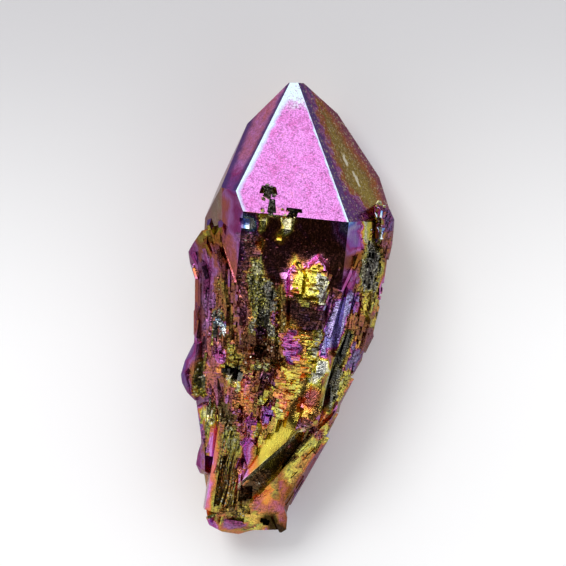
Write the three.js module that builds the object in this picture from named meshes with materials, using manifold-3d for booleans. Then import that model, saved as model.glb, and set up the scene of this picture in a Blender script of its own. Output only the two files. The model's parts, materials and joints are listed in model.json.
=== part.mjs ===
// A single aura quartz crystal lying on its back: a six-sided skeletal point whose lower body is a bundle of
// parallel growths, ledges and hopper pits. One solid, millimetres, +Z up, tip towards +Y.
import * as THREE from "three";
import { ConvexGeometry } from "three/addons/geometries/ConvexGeometry.js";
import { mergeVertices } from "three/addons/utils/BufferGeometryUtils.js";
import Module from "manifold-3d";

const wasm = await Module();
wasm.setup();

// ---- driving dimensions -------------------------------------------------------------------------
const LEAN = THREE.MathUtils.degToRad(6.2); // the long axis leans to +X
const RISE = THREE.MathUtils.degToRad(5.2); // the tip is lifted off the level
const ROLL = THREE.MathUtils.degToRad(4.6); // the front prism face is turned about the long axis
const RHOMB_POLAR = THREE.MathUtils.degToRad(51.8); // rhombohedral face normals, from the long axis
const PRISM_POLAR = THREE.MathUtils.degToRad(90);
const FLANK = Math.tan(THREE.MathUtils.degToRad(30)); // run of a neighbouring prism face for each mm of depth
const TIP_RUN = 1 / Math.tan(THREE.MathUtils.degToRad(38.2)); // the same for a rhombohedral face
const BROKEN_RUN = 0.3; // run of a broken lower end for each mm of depth
const TIP_HEIGHT = 7.6; // height of the tip over the surface it lies on
const TIP_REACH = 22.6; // where the blunt tip ends
const BACK_HEIGHT = 6.4; // height of the back rhomb under the tip
const RIGHT_BOW = [[2.4, 22.5], [4.8, 19.9], [9.2, 13.2]]; // outer edge of the right rhomb
const RIGHT_BOW_FEET = [[2.5, 20.2], [5.7, 15.7]]; // where the flanks under it reach in to
const FLANK_FOOT = 2.2; // height of those feet
const SHOULDER = [6.05, 8.6]; // right end of the edge between front rhomb and front prism face
const LEFT_CORNER = [-5.15, 11.7]; // left corner of the front rhomb
const INNER = new THREE.Vector3(0, 8, 8); // a place well inside the point
const SAME_POINT = 1e-3; // corners nearer than this are one corner
const LOWEST_GROWTH = -20.8; // no strewn growth starts nearer the foot
const PIT_ROOF = 1.5; // how far a pit's mouth reaches up
const GROOVE_ROOF = 6;

const UP = new THREE.Vector3(0, 0, 1);
const axis = new THREE.Vector3(
  Math.sin(LEAN) * Math.cos(RISE),
  Math.cos(LEAN) * Math.cos(RISE),
  Math.sin(RISE),
);
const front = UP.clone()
  .addScaledVector(axis, -UP.dot(axis))
  .normalize()
  .applyAxisAngle(axis, ROLL);

// ---- solids -------------------------------------------------------------------------------------
function solidOf(geometry) {
  const bare = geometry.clone();
  bare.deleteAttribute("normal");
  bare.deleteAttribute("uv");
  const merged = mergeVertices(bare, 1e-4);
  return new wasm.Manifold(
    new wasm.Mesh({
      numProp: 3,
      vertProperties: merged.attributes.position.array,
      triVerts: new Uint32Array(merged.index.array),
    }),
  );
}

const hull = (points) => solidOf(new ConvexGeometry(points));

// The convex solid that a set of planes encloses.
function polyhedron(planes) {
  const corners = [];
  const inside = (p) => planes.every((plane) => plane.distanceToPoint(p) < 1e-4);
  for (let i = 0; i < planes.length; i++)
    for (let j = i + 1; j < planes.length; j++)
      for (let k = j + 1; k < planes.length; k++) {
        const [a, b, c] = [planes[i], planes[j], planes[k]];
        const det = a.normal.dot(b.normal.clone().cross(c.normal));
        if (Math.abs(det) < 1e-4) continue;
        const p = b.normal.clone().cross(c.normal).multiplyScalar(-a.constant);
        p.addScaledVector(c.normal.clone().cross(a.normal), -b.constant);
        p.addScaledVector(a.normal.clone().cross(b.normal), -c.constant);
        p.divideScalar(det);
        if (inside(p) && !corners.some((q) => q.distanceTo(p) < SAME_POINT)) corners.push(p);
      }
  return hull(corners);
}

// Outward normal of a crystal face. turn counts sixths of a turn from the front face, clockwise as seen
// from the tip.
function faceNormal(turn, polar) {
  const side = front.clone().applyAxisAngle(axis, (turn * Math.PI) / 3);
  return axis.clone().multiplyScalar(Math.cos(polar)).addScaledVector(side, Math.sin(polar));
}

const facePlane = (turn, polar, point) =>
  new THREE.Plane().setFromNormalAndCoplanarPoint(faceNormal(turn, polar), point);

// ---- the terminated point -----------------------------------------------------------------------
const tip = new THREE.Vector3(0.95, 22.45, TIP_HEIGHT);
const frontRhomb = facePlane(0, RHOMB_POLAR, tip);
const onFrontRhomb = (x, y) => {
  const z = (-frontRhomb.constant - frontRhomb.normal.x * x - frontRhomb.normal.y * y) / frontRhomb.normal.z;
  return new THREE.Vector3(x, y, z);
};

// The convex six-sided point. The planes through three chosen corners are faces that grew off their
// ideal angle.
function point() {
  const shoulder = onFrontRhomb(...SHOULDER);
  const leftCorner = onFrontRhomb(...LEFT_CORNER);
  const rightRhomb = facePlane(1, RHOMB_POLAR, shoulder);
  const leftRhomb = facePlane(-1, RHOMB_POLAR, leftCorner);
  const heightOn = (plane, x, y) =>
    new THREE.Vector3(x, y, (-plane.constant - plane.normal.x * x - plane.normal.y * y) / plane.normal.z);
  const through = (a, b, c) => {
    const plane = new THREE.Plane().setFromCoplanarPoints(a, b, c);
    return plane.distanceToPoint(INNER) < 0 ? plane : plane.negate();
  };
  // The right rhomb ends in a bowed edge, cut by one flank for each stretch and by the prism face below.
  const bow = RIGHT_BOW.map(([x, y]) => heightOn(rightRhomb, x, y));
  const bowFeet = RIGHT_BOW_FEET.map(([x, y]) => new THREE.Vector3(x, y, FLANK_FOOT));
  const leftEdge = [heightOn(leftRhomb, -0.2, 22.3), heightOn(leftRhomb, -4.05, 18.5)];
  const leftRim = heightOn(leftRhomb, -6.6, 12.2);
  const leftStrip = heightOn(facePlane(-1, PRISM_POLAR, leftCorner), -6.5, 6.6);
  const faces = [
    frontRhomb,
    rightRhomb,
    leftRhomb,
    ...bowFeet.map((low, i) => through(bow[i], bow[i + 1], low)),
    through(...leftEdge, new THREE.Vector3(-3.2, 15, 2.5)),
    through(leftEdge[1], leftRim, new THREE.Vector3(-8.35, 8.9, 7)),
    facePlane(3, RHOMB_POLAR, new THREE.Vector3(0.9, 22.6, BACK_HEIGHT)),
    new THREE.Plane(new THREE.Vector3(0, 1, 0), -TIP_REACH),
    facePlane(0, PRISM_POLAR, shoulder),
    facePlane(1, PRISM_POLAR, shoulder),
    through(bow.at(-1), new THREE.Vector3(10.5, 8.6, 6.6), new THREE.Vector3(7.5, 11, 1.2)),
    facePlane(-1, PRISM_POLAR, leftCorner),
    facePlane(-2, PRISM_POLAR, new THREE.Vector3(-8.3, 8, 6)),
    through(leftRim, leftStrip, new THREE.Vector3(-8.25, 8.9, 6.5)),
    new THREE.Plane(new THREE.Vector3(0, 0, -1), 0),
    through(new THREE.Vector3(-4.4, 0.9, 15), new THREE.Vector3(5.5, 1, 15), new THREE.Vector3(0, 3.6, 0)),
  ];
  // The left faces end higher up than the front one: first along a slant, then nearly square.
  const slantCut = through(leftStrip, leftStrip.clone().setZ(0), new THREE.Vector3(-4.4, 0.9, 15));
  const squareCut = through(leftStrip, leftStrip.clone().setZ(0), new THREE.Vector3(-8.8, 7.6, 7));
  return polyhedron([...faces, slantCut]).add(polyhedron([...faces, squareCut]));
}

// ---- the tapering body --------------------------------------------------------------------------
// Sections across the body, from shoulder to broken foot: y, left, right, top and bottom.
const SECTIONS = [
  { y: 8.6, left: -7.6, right: 9.6, top: 14.8, bottom: 0.9 },
  { y: 5.4, left: -8.8, right: 9.6, top: 14.8, bottom: 0.6 },
  { y: 2.4, left: -9.0, right: 9.0, top: 14.4, bottom: 0.45 },
  { y: -0.8, left: -9.2, right: 8.6, top: 13.8, bottom: 0.4 },
  { y: -3.6, left: -9.2, right: 7.9, top: 13.0, bottom: 0.4 },
  { y: -6.4, left: -9.6, right: 6.4, top: 12.2, bottom: 0.4 },
  { y: -9.4, left: -8.8, right: 5.0, top: 11.2, bottom: 0.4 },
  { y: -12.4, left: -8.2, right: 3.9, top: 10.0, bottom: 0.4 },
  { y: -15.4, left: -8.6, right: 2.1, top: 8.7, bottom: 0.45 },
  { y: -18.4, left: -8.1, right: 0.6, top: 7.3, bottom: 0.6 },
  { y: -20.8, left: -8.0, right: -0.2, top: 6.4, bottom: 0.9 },
  { y: -22.2, left: -6.9, right: -0.8, top: 5.2, bottom: 1.5 },
];
// One section as shares of its width and height, clockwise from the upper left.
const SECTION_SHAPE = [
  [0.26, 1], [0.76, 1], [0.93, 0.78], [1, 0.5], [0.93, 0.22], [0.7, 0], [0.3, 0], [0.07, 0.2],
  [0, 0.48], [0.07, 0.76],
];

function sectionAt(y) {
  const next = Math.max(1, SECTIONS.findIndex((s) => s.y <= y));
  const [a, b] = [SECTIONS[next - 1], SECTIONS[next]];
  const share = THREE.MathUtils.clamp((a.y - y) / (a.y - b.y), 0, 1);
  const mix = (key) => THREE.MathUtils.lerp(a[key], b[key], share);
  return { y, left: mix("left"), right: mix("right"), top: mix("top"), bottom: mix("bottom") };
}

const sectionCorners = (s) =>
  SECTION_SHAPE.map(([u, v]) => new THREE.Vector3(
    THREE.MathUtils.lerp(s.left, s.right, u),
    s.y,
    THREE.MathUtils.lerp(s.bottom, s.top, v),
  ));

// Each stretch between two sections is a convex block.
function body() {
  const overlap = 0.05; // the blocks run into each other by this much
  let solid = null;
  for (let i = 0; i + 1 < SECTIONS.length; i++) {
    const far = sectionCorners(SECTIONS[i]);
    const near = sectionCorners(SECTIONS[i + 1]);
    far.forEach((p) => (p.y += overlap));
    const block = hull([...far, ...near]);
    solid = solid ? solid.add(block) : block;
  }
  return solid;
}

// ---- growths and hollows ------------------------------------------------------------------------
const vector = (p) => new THREE.Vector3(...p);
const shard = (...corners) => hull(corners.map(vector));

// A crystal lying on the body: a flat top between two points, flanks at sixty degrees, a rhombohedral
// end towards the tip and a broken end towards the foot. width is at the two ends, sink is how deep it
// reaches, out is the way its flat top faces.
function growth({ from, to, width, sink = 2.5, out = UP, turn = 0, tipRun = TIP_RUN, footRun = BROKEN_RUN }) {
  const [head, foot] = [vector(from), vector(to)];
  const along = head.clone().sub(foot).normalize();
  const up = out.clone().addScaledVector(along, -out.dot(along)).normalize();
  up.applyAxisAngle(along, THREE.MathUtils.degToRad(turn));
  const across = along.clone().cross(up);
  const corners = [];
  for (const [end, wide, run] of [[head, width[0], tipRun], [foot, width[1], -footRun]])
    for (const side of [-1, 1]) {
      corners.push(end.clone().addScaledVector(across, (side * wide) / 2));
      corners.push(
        end.clone()
          .addScaledVector(across, side * (wide / 2 + FLANK * sink))
          .addScaledVector(along, run * sink)
          .addScaledVector(up, -sink),
      );
    }
  return hull(corners);
}

// A four-sided hopper pit: its mouth lies round a point, its floor is smaller and deep below.
function pit({ at, size, depth, heading = 0, floor = 0.6, out = front }) {
  const centre = vector(at);
  const along = axis.clone().applyAxisAngle(out, THREE.MathUtils.degToRad(heading));
  along.addScaledVector(out, -out.dot(along)).normalize();
  const across = along.clone().cross(out);
  const corners = [];
  for (const [level, scale] of [[PIT_ROOF, 1], [0, 1], [-depth, floor]])
    for (const [u, v] of [[-1, -1], [1, -1], [1, 1], [-1, 1]])
      corners.push(
        centre.clone()
          .addScaledVector(across, (u * scale * size[0]) / 2)
          .addScaledVector(along, (v * scale * size[1]) / 2)
          .addScaledVector(out, level),
      );
  return hull(corners);
}

const FRONT_GROWTHS = [
  // long columns down the left edge
  { from: [-8.9, 3.4, 8.8], to: [-8.95, -3.8, 8.0], width: [0.9, 0.9], sink: 2.4, turn: -34 },
  { from: [-7.9, 4.6, 10.8], to: [-7.9, -9.3, 9.2], width: [1.1, 1.0], sink: 2.6, turn: -16, tipRun: 0.4 },
  { from: [-6.9, -2.8, 11.2], to: [-6.7, -9.6, 10.2], width: [0.6, 0.5], sink: 2.2 },
  { from: [-6.2, 4.6, 13.2], to: [-5.2, -3.4, 12.6], width: [0.8, 1.0], sink: 2.6 },
  { from: [-6.4, 6.6, 13.0], to: [-4.6, 1.0, 14.6], width: [0.25, 0.3], sink: 1.4 },
  { from: [-6.5, -3.9, 12.2], to: [-6.4, -6.4, 11.6], width: [0.8, 0.7], sink: 2 },
  { from: [-5.4, -3.5, 12.8], to: [-5.2, -5.8, 12.2], width: [1.1, 0.9], sink: 2 },
  // narrow ridges beside the trough in the middle
  { from: [-0.4, 3.0, 16.0], to: [-0.4, -5.1, 14.5], width: [0.5, 0.5], sink: 2.2 },
  { from: [-1.5, 0.2, 15.4], to: [-1.6, -4.8, 13.9], width: [0.5, 0.5], sink: 2 },
  { from: [-3.5, -1.2, 15.0], to: [-3.4, -4.4, 13.8], width: [0.6, 0.5], sink: 2 },
  // dark block, striated block and the stairs that lead down from them
  { from: [1.9, 0.9, 15.5], to: [1.8, -2.0, 15.1], width: [3.2, 3.2], sink: 2, tipRun: 0.4 },
  { from: [0.4, -1.9, 15.4], to: [0.3, -5.0, 14.6], width: [1.1, 1.0], sink: 2.2, tipRun: 0.4 },
  { from: [1.75, -2.3, 15.2], to: [1.7, -4.6, 14.6], width: [1.5, 1.5], sink: 2.2, tipRun: 0.4 },
  { from: [3.15, -2.1, 14.8], to: [3.1, -4.4, 14.3], width: [1.0, 1.0], sink: 2 },
  { from: [1.7, -4.8, 14.3], to: [1.6, -6.5, 13.8], width: [1.6, 1.5], sink: 2, tipRun: 0.5 },
  { from: [3.3, -4.6, 14.1], to: [3.2, -6.4, 13.6], width: [0.8, 0.8], sink: 2, tipRun: 0.5 },
  { from: [0.45, -5.6, 14.2], to: [0.4, -8.0, 13.3], width: [0.9, 0.9], sink: 2, tipRun: 0.5 },
  { from: [-0.7, -6.7, 13.6], to: [-0.8, -8.8, 12.8], width: [0.9, 0.9], sink: 2, tipRun: 0.5 },
  { from: [1.7, -6.8, 13.6], to: [1.5, -8.8, 12.9], width: [1.2, 1.2], sink: 2, tipRun: 0.5 },
  { from: [0.6, -8.2, 13.0], to: [0.3, -10.2, 12.3], width: [1.1, 1.0], sink: 2, tipRun: 0.5 },
  { from: [-0.6, -9.0, 12.6], to: [-0.8, -11.0, 11.9], width: [0.9, 0.8], sink: 2 },
  { from: [0.7, -10.2, 12.3], to: [0.2, -12.0, 11.6], width: [1.1, 0.9], sink: 2, tipRun: 0.5 },
  // striated columns on the lower left
  { from: [-3.9, -6.8, 12.8], to: [-3.8, -10.3, 11.9], width: [1.0, 1.2], sink: 2.2 },
  { from: [-5.4, -7.6, 12.0], to: [-5.0, -12.5, 10.7], width: [0.8, 0.8], sink: 2 },
  { from: [-3.7, -10.4, 11.7], to: [-3.7, -12.5, 11.0], width: [0.8, 0.7], sink: 2 },
  { from: [-2.1, -10.2, 11.8], to: [-2.3, -12.5, 11.1], width: [0.7, 0.6], sink: 2 },
  { from: [-1.1, -9.8, 12.1], to: [-1.5, -12.2, 11.3], width: [0.5, 0.5], sink: 2 },
  { from: [-6.1, -11.3, 10.6], to: [-6.1, -14.5, 9.6], width: [0.7, 0.6], sink: 2 },
  { from: [-7.7, -11.5, 9.5], to: [-7.9, -14.7, 8.6], width: [0.8, 0.6], sink: 1.8, turn: -24 },
  // violet blades to the right of the front face
  { from: [5.0, 1.8, 15.2], to: [3.9, -2.8, 14.3], width: [1.0, 0.7], sink: 2.4, turn: 12 },
  { from: [4.1, -2.4, 14.2], to: [3.6, -6.6, 13.3], width: [0.45, 0.35], sink: 2 },
  { from: [6.3, 2.0, 14.3], to: [5.0, -4.8, 13.0], width: [0.7, 0.4], sink: 2.4, turn: 22 },
  { from: [7.2, 2.6, 13.2], to: [6.2, -2.0, 12.4], width: [0.6, 0.4], sink: 2, turn: 30 },
  // outer right rim, its lobes and the band that runs from them to the foot
  { from: [9.5, 5.6, 9.2], to: [8.8, 0.4, 8.4], width: [0.8, 0.6], sink: 2, turn: 30 },
  { from: [7.9, 1.0, 11.8], to: [7.0, -2.6, 11.2], width: [0.7, 0.6], sink: 2.2, turn: 34 },
  { from: [6.4, -1.8, 12.0], to: [5.6, -6.2, 10.9], width: [0.7, 0.7], sink: 2.2, turn: 20 },
  { from: [7.4, -2.4, 10.3], to: [6.2, -6.6, 9.4], width: [0.7, 0.6], sink: 2, turn: 34 },
  { from: [5.5, -6.0, 10.8], to: [4.5, -10.2, 9.8], width: [0.6, 0.8], sink: 2.2, turn: 24 },
  { from: [4.6, -9.6, 9.8], to: [2.4, -13.6, 8.9], width: [0.6, 0.9], sink: 2.2, turn: 24 },
  { from: [2.5, -13.2, 8.9], to: [0.2, -17.2, 7.9], width: [0.9, 1.2], sink: 2.4, turn: 20 },
  { from: [1.0, -15.8, 8.1], to: [-0.9, -19.2, 7.0], width: [1.4, 1.2], sink: 2.6, turn: 16 },
  // long blade on the lower left
  { from: [-6.6, -11.4, 10.6], to: [-7.9, -20.2, 8.0], width: [0.6, 0.9], sink: 2.6, turn: -26 },
];

const LOBES = [
  // paired heads standing proud of the front face
  shard([3.05, 4.9, 16.8], [2.0, 3.8, 16.8], [1.7, 1.4, 16.5], [3.4, 1.1, 16.4], [3.95, 2.9, 16.6],
    [3.75, 4.2, 16.7],
    [3.05, 5.7, 15.4], [1.3, 3.9, 15.4], [1.3, 0.9, 15.0], [3.6, 0.6, 15.0], [4.35, 2.8, 15.0],
    [4.3, 4.1, 15.2]),
  shard([0.75, 4.4, 16.8], [0.25, 3.5, 16.7], [0.25, 1.8, 16.4], [1.3, 1.5, 16.4], [1.5, 3.4, 16.7],
    [0.75, 5.0, 15.5], [-0.2, 3.4, 15.4], [-0.2, 1.3, 15.0], [1.7, 1.1, 15.0], [1.8, 3.4, 15.2]),
  // faceted shoulder on the left
  shard([-6.5, 8.5, 12.9], [-8.6, 7.8, 9.2], [-9.5, 6.5, 8.2], [-9.95, 5.7, 7.2], [-9.8, 4.6, 6.6],
    [-9.3, 3.0, 6.4],
    [-8.2, 5.9, 11.2], [-6.5, 4.2, 13.0], [-8.3, 2.8, 9.9], [-6, 7, 5], [-6, 3, 5], [-9.2, 5.6, 4.2]),
  // rounded lobe low on the left
  shard([-9.4, -3.4, 7.6], [-10.3, -5.2, 7.0], [-10.7, -6.6, 6.4], [-10.6, -7.4, 6.0],
    [-10.1, -8.4, 5.8], [-9.3, -9.2, 6.0],
    [-9.1, -4.0, 9.1], [-9.4, -6.2, 8.8], [-9.6, -7.6, 8.2], [-7, -3.4, 5], [-7, -9.4, 5],
    [-9.9, -5.4, 3.6], [-9.2, -8.6, 3.4]),
  // small facet under it
  shard([-8.5, -9.6, 7.6], [-7.2, -9.9, 9.9], [-7.2, -11.2, 9.9], [-8.55, -11.3, 7.6],
    [-8.2, -9.7, 5], [-8.2, -11.6, 5], [-7, -10, 5]),
  // small lobe above the foot
  shard([-8.5, -13.0, 7.2], [-9.0, -14.4, 6.6], [-9.2, -15.6, 6.0], [-8.8, -16.5, 5.6],
    [-8.3, -13.8, 8.4], [-8.3, -16.3, 7.6],
    [-7.0, -12.6, 5], [-7, -17, 5], [-8.6, -15, 3.6]),
  // shoulder lobe on the right
  shard([9.0, 10.6, 10.9], [10.2, 9.9, 9.4], [10.65, 8.9, 8.4], [10.6, 7.9, 8.0], [10.45, 6.4, 7.8],
    [10.1, 4.9, 7.6],
    [9.3, 9.4, 11.2], [9.4, 6.2, 10.8], [8, 10, 6], [8, 5, 6], [9.9, 7.6, 5.4]),
  // lobes on the right edge
  shard([9.0, 1.2, 7.8], [9.2, 0.1, 7.2], [8.9, -1.1, 6.6], [8.3, 1.4, 9.6], [8.2, -1.0, 9.4],
    [7, 1, 5], [7, -1.6, 5]),
  shard([8.5, -1.9, 8.4], [8.6, -2.8, 7.6], [7.8, -4.4, 7.0], [7.9, -2.0, 9.6], [7.1, -4.2, 9.2],
    [6.4, -1.8, 5], [6.2, -4.6, 5]),
  shard([7.6, -4.2, 7.8], [7.4, -5.2, 7.0], [6.5, -6.7, 6.6], [6.9, -4.4, 9.4], [6.0, -6.7, 8.8],
    [5, -4.8, 5], [4.8, -7, 5]),
  // three blocks of the band below the groove
  shard([0.3, -14.9, 9.0], [1.3, -13.4, 9.3], [2.9, -12.2, 9.6], [3.8, -12.3, 8.6], [2.2, -15.4, 7.8],
    [1.3, -16.8, 7.4],
    [-0.2, -15.8, 8.8], [0, -15, 6], [3.6, -12.4, 5], [1.4, -16.6, 4.4], [0, -16.6, 5]),
  shard([-1.0, -16.7, 8.8], [0.2, -15.2, 8.9], [1.4, -16.4, 7.6], [0.6, -18.2, 6.8],
    [-0.9, -18.6, 7.8], [-2.3, -18.0, 8.5],
    [-1, -16.8, 6], [1.2, -16.8, 4.2], [0.4, -18.2, 3.8], [-1.6, -18.6, 5]),
  shard([3.1, -12.1, 9.7], [4.3, -11.0, 10.0], [4.9, -10.0, 9.6], [4.6, -11.4, 8.6],
    [3.9, -12.6, 8.4], [3.2, -12.2, 7],
    [4.9, -10.4, 5], [4, -12.6, 5]),
  // violet diamond-shaped facet
  shard([-3.85, -12.9, 10.8], [-3.1, -13.8, 10.5], [-3.2, -14.7, 10.2], [-3.95, -15.9, 9.7],
    [-4.5, -14.1, 10.3],
    [-3.8, -12.4, 9], [-2.6, -14, 8.6], [-4.1, -16.4, 8], [-5, -14, 8.6]),
];

// The smooth lip above the groove: a grey bevel at its head, then a long blade that ends in a point.
function lip() {
  return [
    growth({
      from: [3.2, -6.2, 13.3],
      to: [2.4, -9.6, 12.5],
      width: [0.9, 1.5],
      sink: 2,
      turn: 6,
      footRun: 0,
    }),
    shard([3.3, -10.4, 12.2], [1.8, -11.8, 11.7], [-0.2, -13.4, 11.1], [-2.2, -15.2, 10.3],
      [-4.9, -17.95, 8.9],
      [3.5, -8.4, 12.3], [2.2, -8.6, 12.1], [-0.4, -11.0, 11.1], [-2.5, -12.8, 10.2],
      [-3.8, -15.2, 9.4], [3.5, -10.2, 9],
      [-0.1, -13.5, 8.2], [-3.1, -16.2, 7.4], [-4.9, -17.9, 7.6], [2, -9, 9], [-2, -12.8, 8]),
  ];
}

// The groove runs under the lip in two reaches, each with a flat floor parallel to the front face.
function groove() {
  const floor = (corners, height) => {
    const [first] = corners;
    const level = new THREE.Plane().setFromNormalAndCoplanarPoint(front, new THREE.Vector3(...first, height));
    const low = corners.map(([x, y]) =>
      new THREE.Vector3(x, y, (-level.constant - level.normal.x * x - level.normal.y * y) / level.normal.z));
    return hull([...low, ...low.map((p) => p.clone().setZ(p.z + GROOVE_ROOF))]);
  };
  return [
    floor([[-5.0, -17.6], [-3.2, -16.1], [-0.3, -13.4], [-0.2, -15.2], [-1.6, -16.9],
    [-4.2, -19.4]], 7.9),
    floor([[-0.3, -13.4], [1.9, -11.6], [2.3, -12.3], [1.2, -13.4], [-0.3, -15.3]], 8.3),
    floor([[3.35, -10.4], [3.85, -7.6], [4.85, -8.1], [4.35, -10.8]], 10.0),
    floor([[3.85, -7.8], [4.55, -5.1], [5.8, -2.6], [6.5, -2.2], [5.75, -4.1], [4.85, -8.3]], 10.6),
  ];
}

function foot() {
  return [
    // wedge with two facets above the broken end
    shard([-1.5, -17.4, 8.3], [-3.9, -19.6, 7.6], [-3.7, -20.6, 7.0], [-2.0, -20.9, 6.9],
      [-0.6, -20.4, 6.2], [0.4, -18.0, 6.6],
      [-0.2, -17.2, 7.6], [-1.9, -18.6, 8.5], [-3, -19, 4], [-1, -20, 3], [0.2, -18.4, 4.4]),
    // horn at the lower right
    shard([-1.6, -20.4, 6.6], [-0.5, -19.6, 6.0], [-0.05, -21.0, 4.8], [-0.15, -22.2, 3.8],
      [-0.8, -22.6, 3.8], [-1.2, -21.6, 5.6],
      [-0.6, -21, 2.2], [-1.6, -20, 3], [-0.2, -19.4, 3]),
    // rim of the broken end
    shard([-8.2, -20.9, 6.2], [-7.9, -21.7, 5.0], [-6.6, -22.4, 4.2], [-4.6, -22.7, 3.8],
      [-3.0, -22.5, 4.2], [-7.4, -20.9, 6.9],
      [-5.0, -21.8, 6.2], [-3.2, -21.6, 6.0], [-7, -20, 3], [-3, -20, 3], [-6.4, -21.8, 2.4],
      [-3.6, -22, 2.4]),
    // low facet between rim and wedge
    shard([-4.3, -20.6, 7.0], [-2.2, -20.6, 6.9], [-2.4, -21.5, 6.2], [-4.4, -21.7, 6.2],
      [-3.4, -20.4, 4], [-3.4, -21.8, 4.2]),
    // thin needle lying across the left of the foot
    growth({
      from: [-8.0, -20.9, 7.6],
      to: [-5.4, -19.9, 7.9],
      width: [0.3, 0.3],
      sink: 1.2,
      tipRun: 0,
      footRun: 0,
    }),
  ];
}

// The hollow where the foot broke from its matrix.
const fracture = () =>
  solidOf(new THREE.IcosahedronGeometry(3, 1).scale(1, 0.8, 0.9).translate(-2.7, -24.1, 3.4));

const FRONT_PITS = [
  // notches along the shoulder
  { at: [-1.85, 11.6, 15.6], size: [0.95, 1.5], depth: 1.0, heading: -18, floor: 0.5 },
  { at: [-1.65, 10.0, 16.6], size: [0.6, 2.2], depth: 0.9, heading: 4, floor: 0.6 },
  { at: [0.5, 9.3, 16.4], size: [1.0, 1.7], depth: 1.2, heading: -26, floor: 0.5 },
  { at: [-3.9, 8.6, 17.2], size: [1.5, 0.9], depth: 0.8, heading: 6, floor: 0.7 },
  { at: [-2.5, 8.2, 17.1], size: [1.2, 1.6], depth: 1.1, heading: 0, floor: 0.6 },
  { at: [-2.9, 6.6, 16.9], size: [0.8, 1.3], depth: 1.2, heading: 0, floor: 0.5 },
  { at: [-0.8, 7.0, 16.8], size: [0.5, 0.8], depth: 0.7, heading: 0, floor: 0.4 },
  // etched trough on the left of the front face and the caves below it
  { at: [-2.9, 4.6, 16.8], size: [1.4, 1.6], depth: 0.7, heading: 0, floor: 0.7 },
  { at: [-2.5, 1.9, 16.4], size: [2.9, 3.4], depth: 1.2, heading: 0, floor: 0.7 },
  { at: [-2.4, -1.0, 15.8], size: [1.4, 3.4], depth: 2.4, heading: 2, floor: 0.6 },
  { at: [-4.4, -1.0, 15.4], size: [0.9, 2.8], depth: 2.0, heading: 4, floor: 0.6 },
  { at: [-2.5, -4.4, 14.6], size: [2.0, 1.9], depth: 2.4, heading: 8, floor: 0.5 },
  { at: [-0.9, -5.4, 14.4], size: [0.9, 1.3], depth: 1.8, heading: 0, floor: 0.5 },
  { at: [-5.9, -0.9, 13.6], size: [0.5, 3.2], depth: 1.4, heading: 4, floor: 0.5 },
  { at: [-5.3, -6.6, 12.8], size: [1.2, 1.6], depth: 2.0, heading: 0, floor: 0.5 },
  { at: [-2.3, -8.3, 12.9], size: [1.7, 2.6], depth: 1.4, heading: -16, floor: 0.6 },
  { at: [-4.7, -10.4, 12.0], size: [0.5, 2.4], depth: 1.4, heading: 2, floor: 0.5 },
  { at: [-2.9, -11.4, 12.0], size: [0.6, 1.6], depth: 1.4, heading: 0, floor: 0.5 },
  { at: [2.6, -4.6, 14.9], size: [0.5, 2.6], depth: 1.4, heading: 0, floor: 0.5 },
  { at: [1.1, -9.4, 13.4], size: [0.9, 0.6], depth: 1.2, heading: 20, floor: 0.5 },
  { at: [-5.9, -17.4, 8.6], size: [2.4, 5.4], depth: 0.9, heading: -2, floor: 0.8 },
  // open seams between the front face and the outer right rim
  { at: [9.1, 8.8, 12.2], size: [0.35, 3.2], depth: 1.6, heading: 4, floor: 0.6 },
  { at: [8.6, 4.4, 12.6], size: [1.2, 4.6], depth: 2.2, heading: 8, floor: 0.5 },
  { at: [8.2, 0.8, 11.6], size: [0.8, 2.2], depth: 1.8, heading: 8, floor: 0.5 },
  { at: [7.6, -3.1, 10.6], size: [0.6, 1.8], depth: 1.4, heading: -8, floor: 0.5 },
  // hollows in the left lobe
  { at: [-8.9, -5.8, 9.4], size: [0.7, 2.6], depth: 1.3, heading: 6, floor: 0.6 },
  { at: [-8.8, -8.5, 8.6], size: [1.5, 0.9], depth: 1.6, heading: 32, floor: 0.5 },
];

// ---- the underside and flanks -------------------------------------------------------------------
// Repeatable even random numbers from 0 to 1, by a linear congruence.
const MODULUS = 2 ** 32;
const MULTIPLIER = 1664525;
const INCREMENT = 1013904223;

function seeded(seed) {
  let state = seed;
  return () => {
    state = (state * MULTIPLIER + INCREMENT) % MODULUS;
    return state / MODULUS;
  };
}

// Where a ray from the middle of the section meets its outline. turn is in degrees from straight up,
// towards +X.
function onBody(y, turn) {
  const s = sectionAt(y);
  const corners = sectionCorners(s);
  const middle = new THREE.Vector3((s.left + s.right) / 2, y, (s.top + s.bottom) / 2);
  const angle = THREE.MathUtils.degToRad(turn);
  const ray = new THREE.Vector3(Math.sin(angle), 0, Math.cos(angle));
  for (let i = 0; i < corners.length; i++) {
    const [a, b] = [corners[i], corners[(i + 1) % corners.length]];
    const edge = b.clone().sub(a);
    const outward = new THREE.Vector3(-edge.z, 0, edge.x).normalize();
    const facing = outward.dot(ray);
    if (Math.abs(facing) < 1e-6) continue;
    const reach = a.clone().sub(middle).dot(outward) / facing;
    if (reach <= 0) continue;
    const hit = middle.clone().addScaledVector(ray, reach);
    const share = hit.clone().sub(a).dot(edge) / edge.lengthSq();
    if (share >= 0 && share <= 1) return { hit, outward: outward.dot(ray) > 0 ? outward : outward.negate() };
  }
  throw new Error("no outline at " + turn);
}

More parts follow.
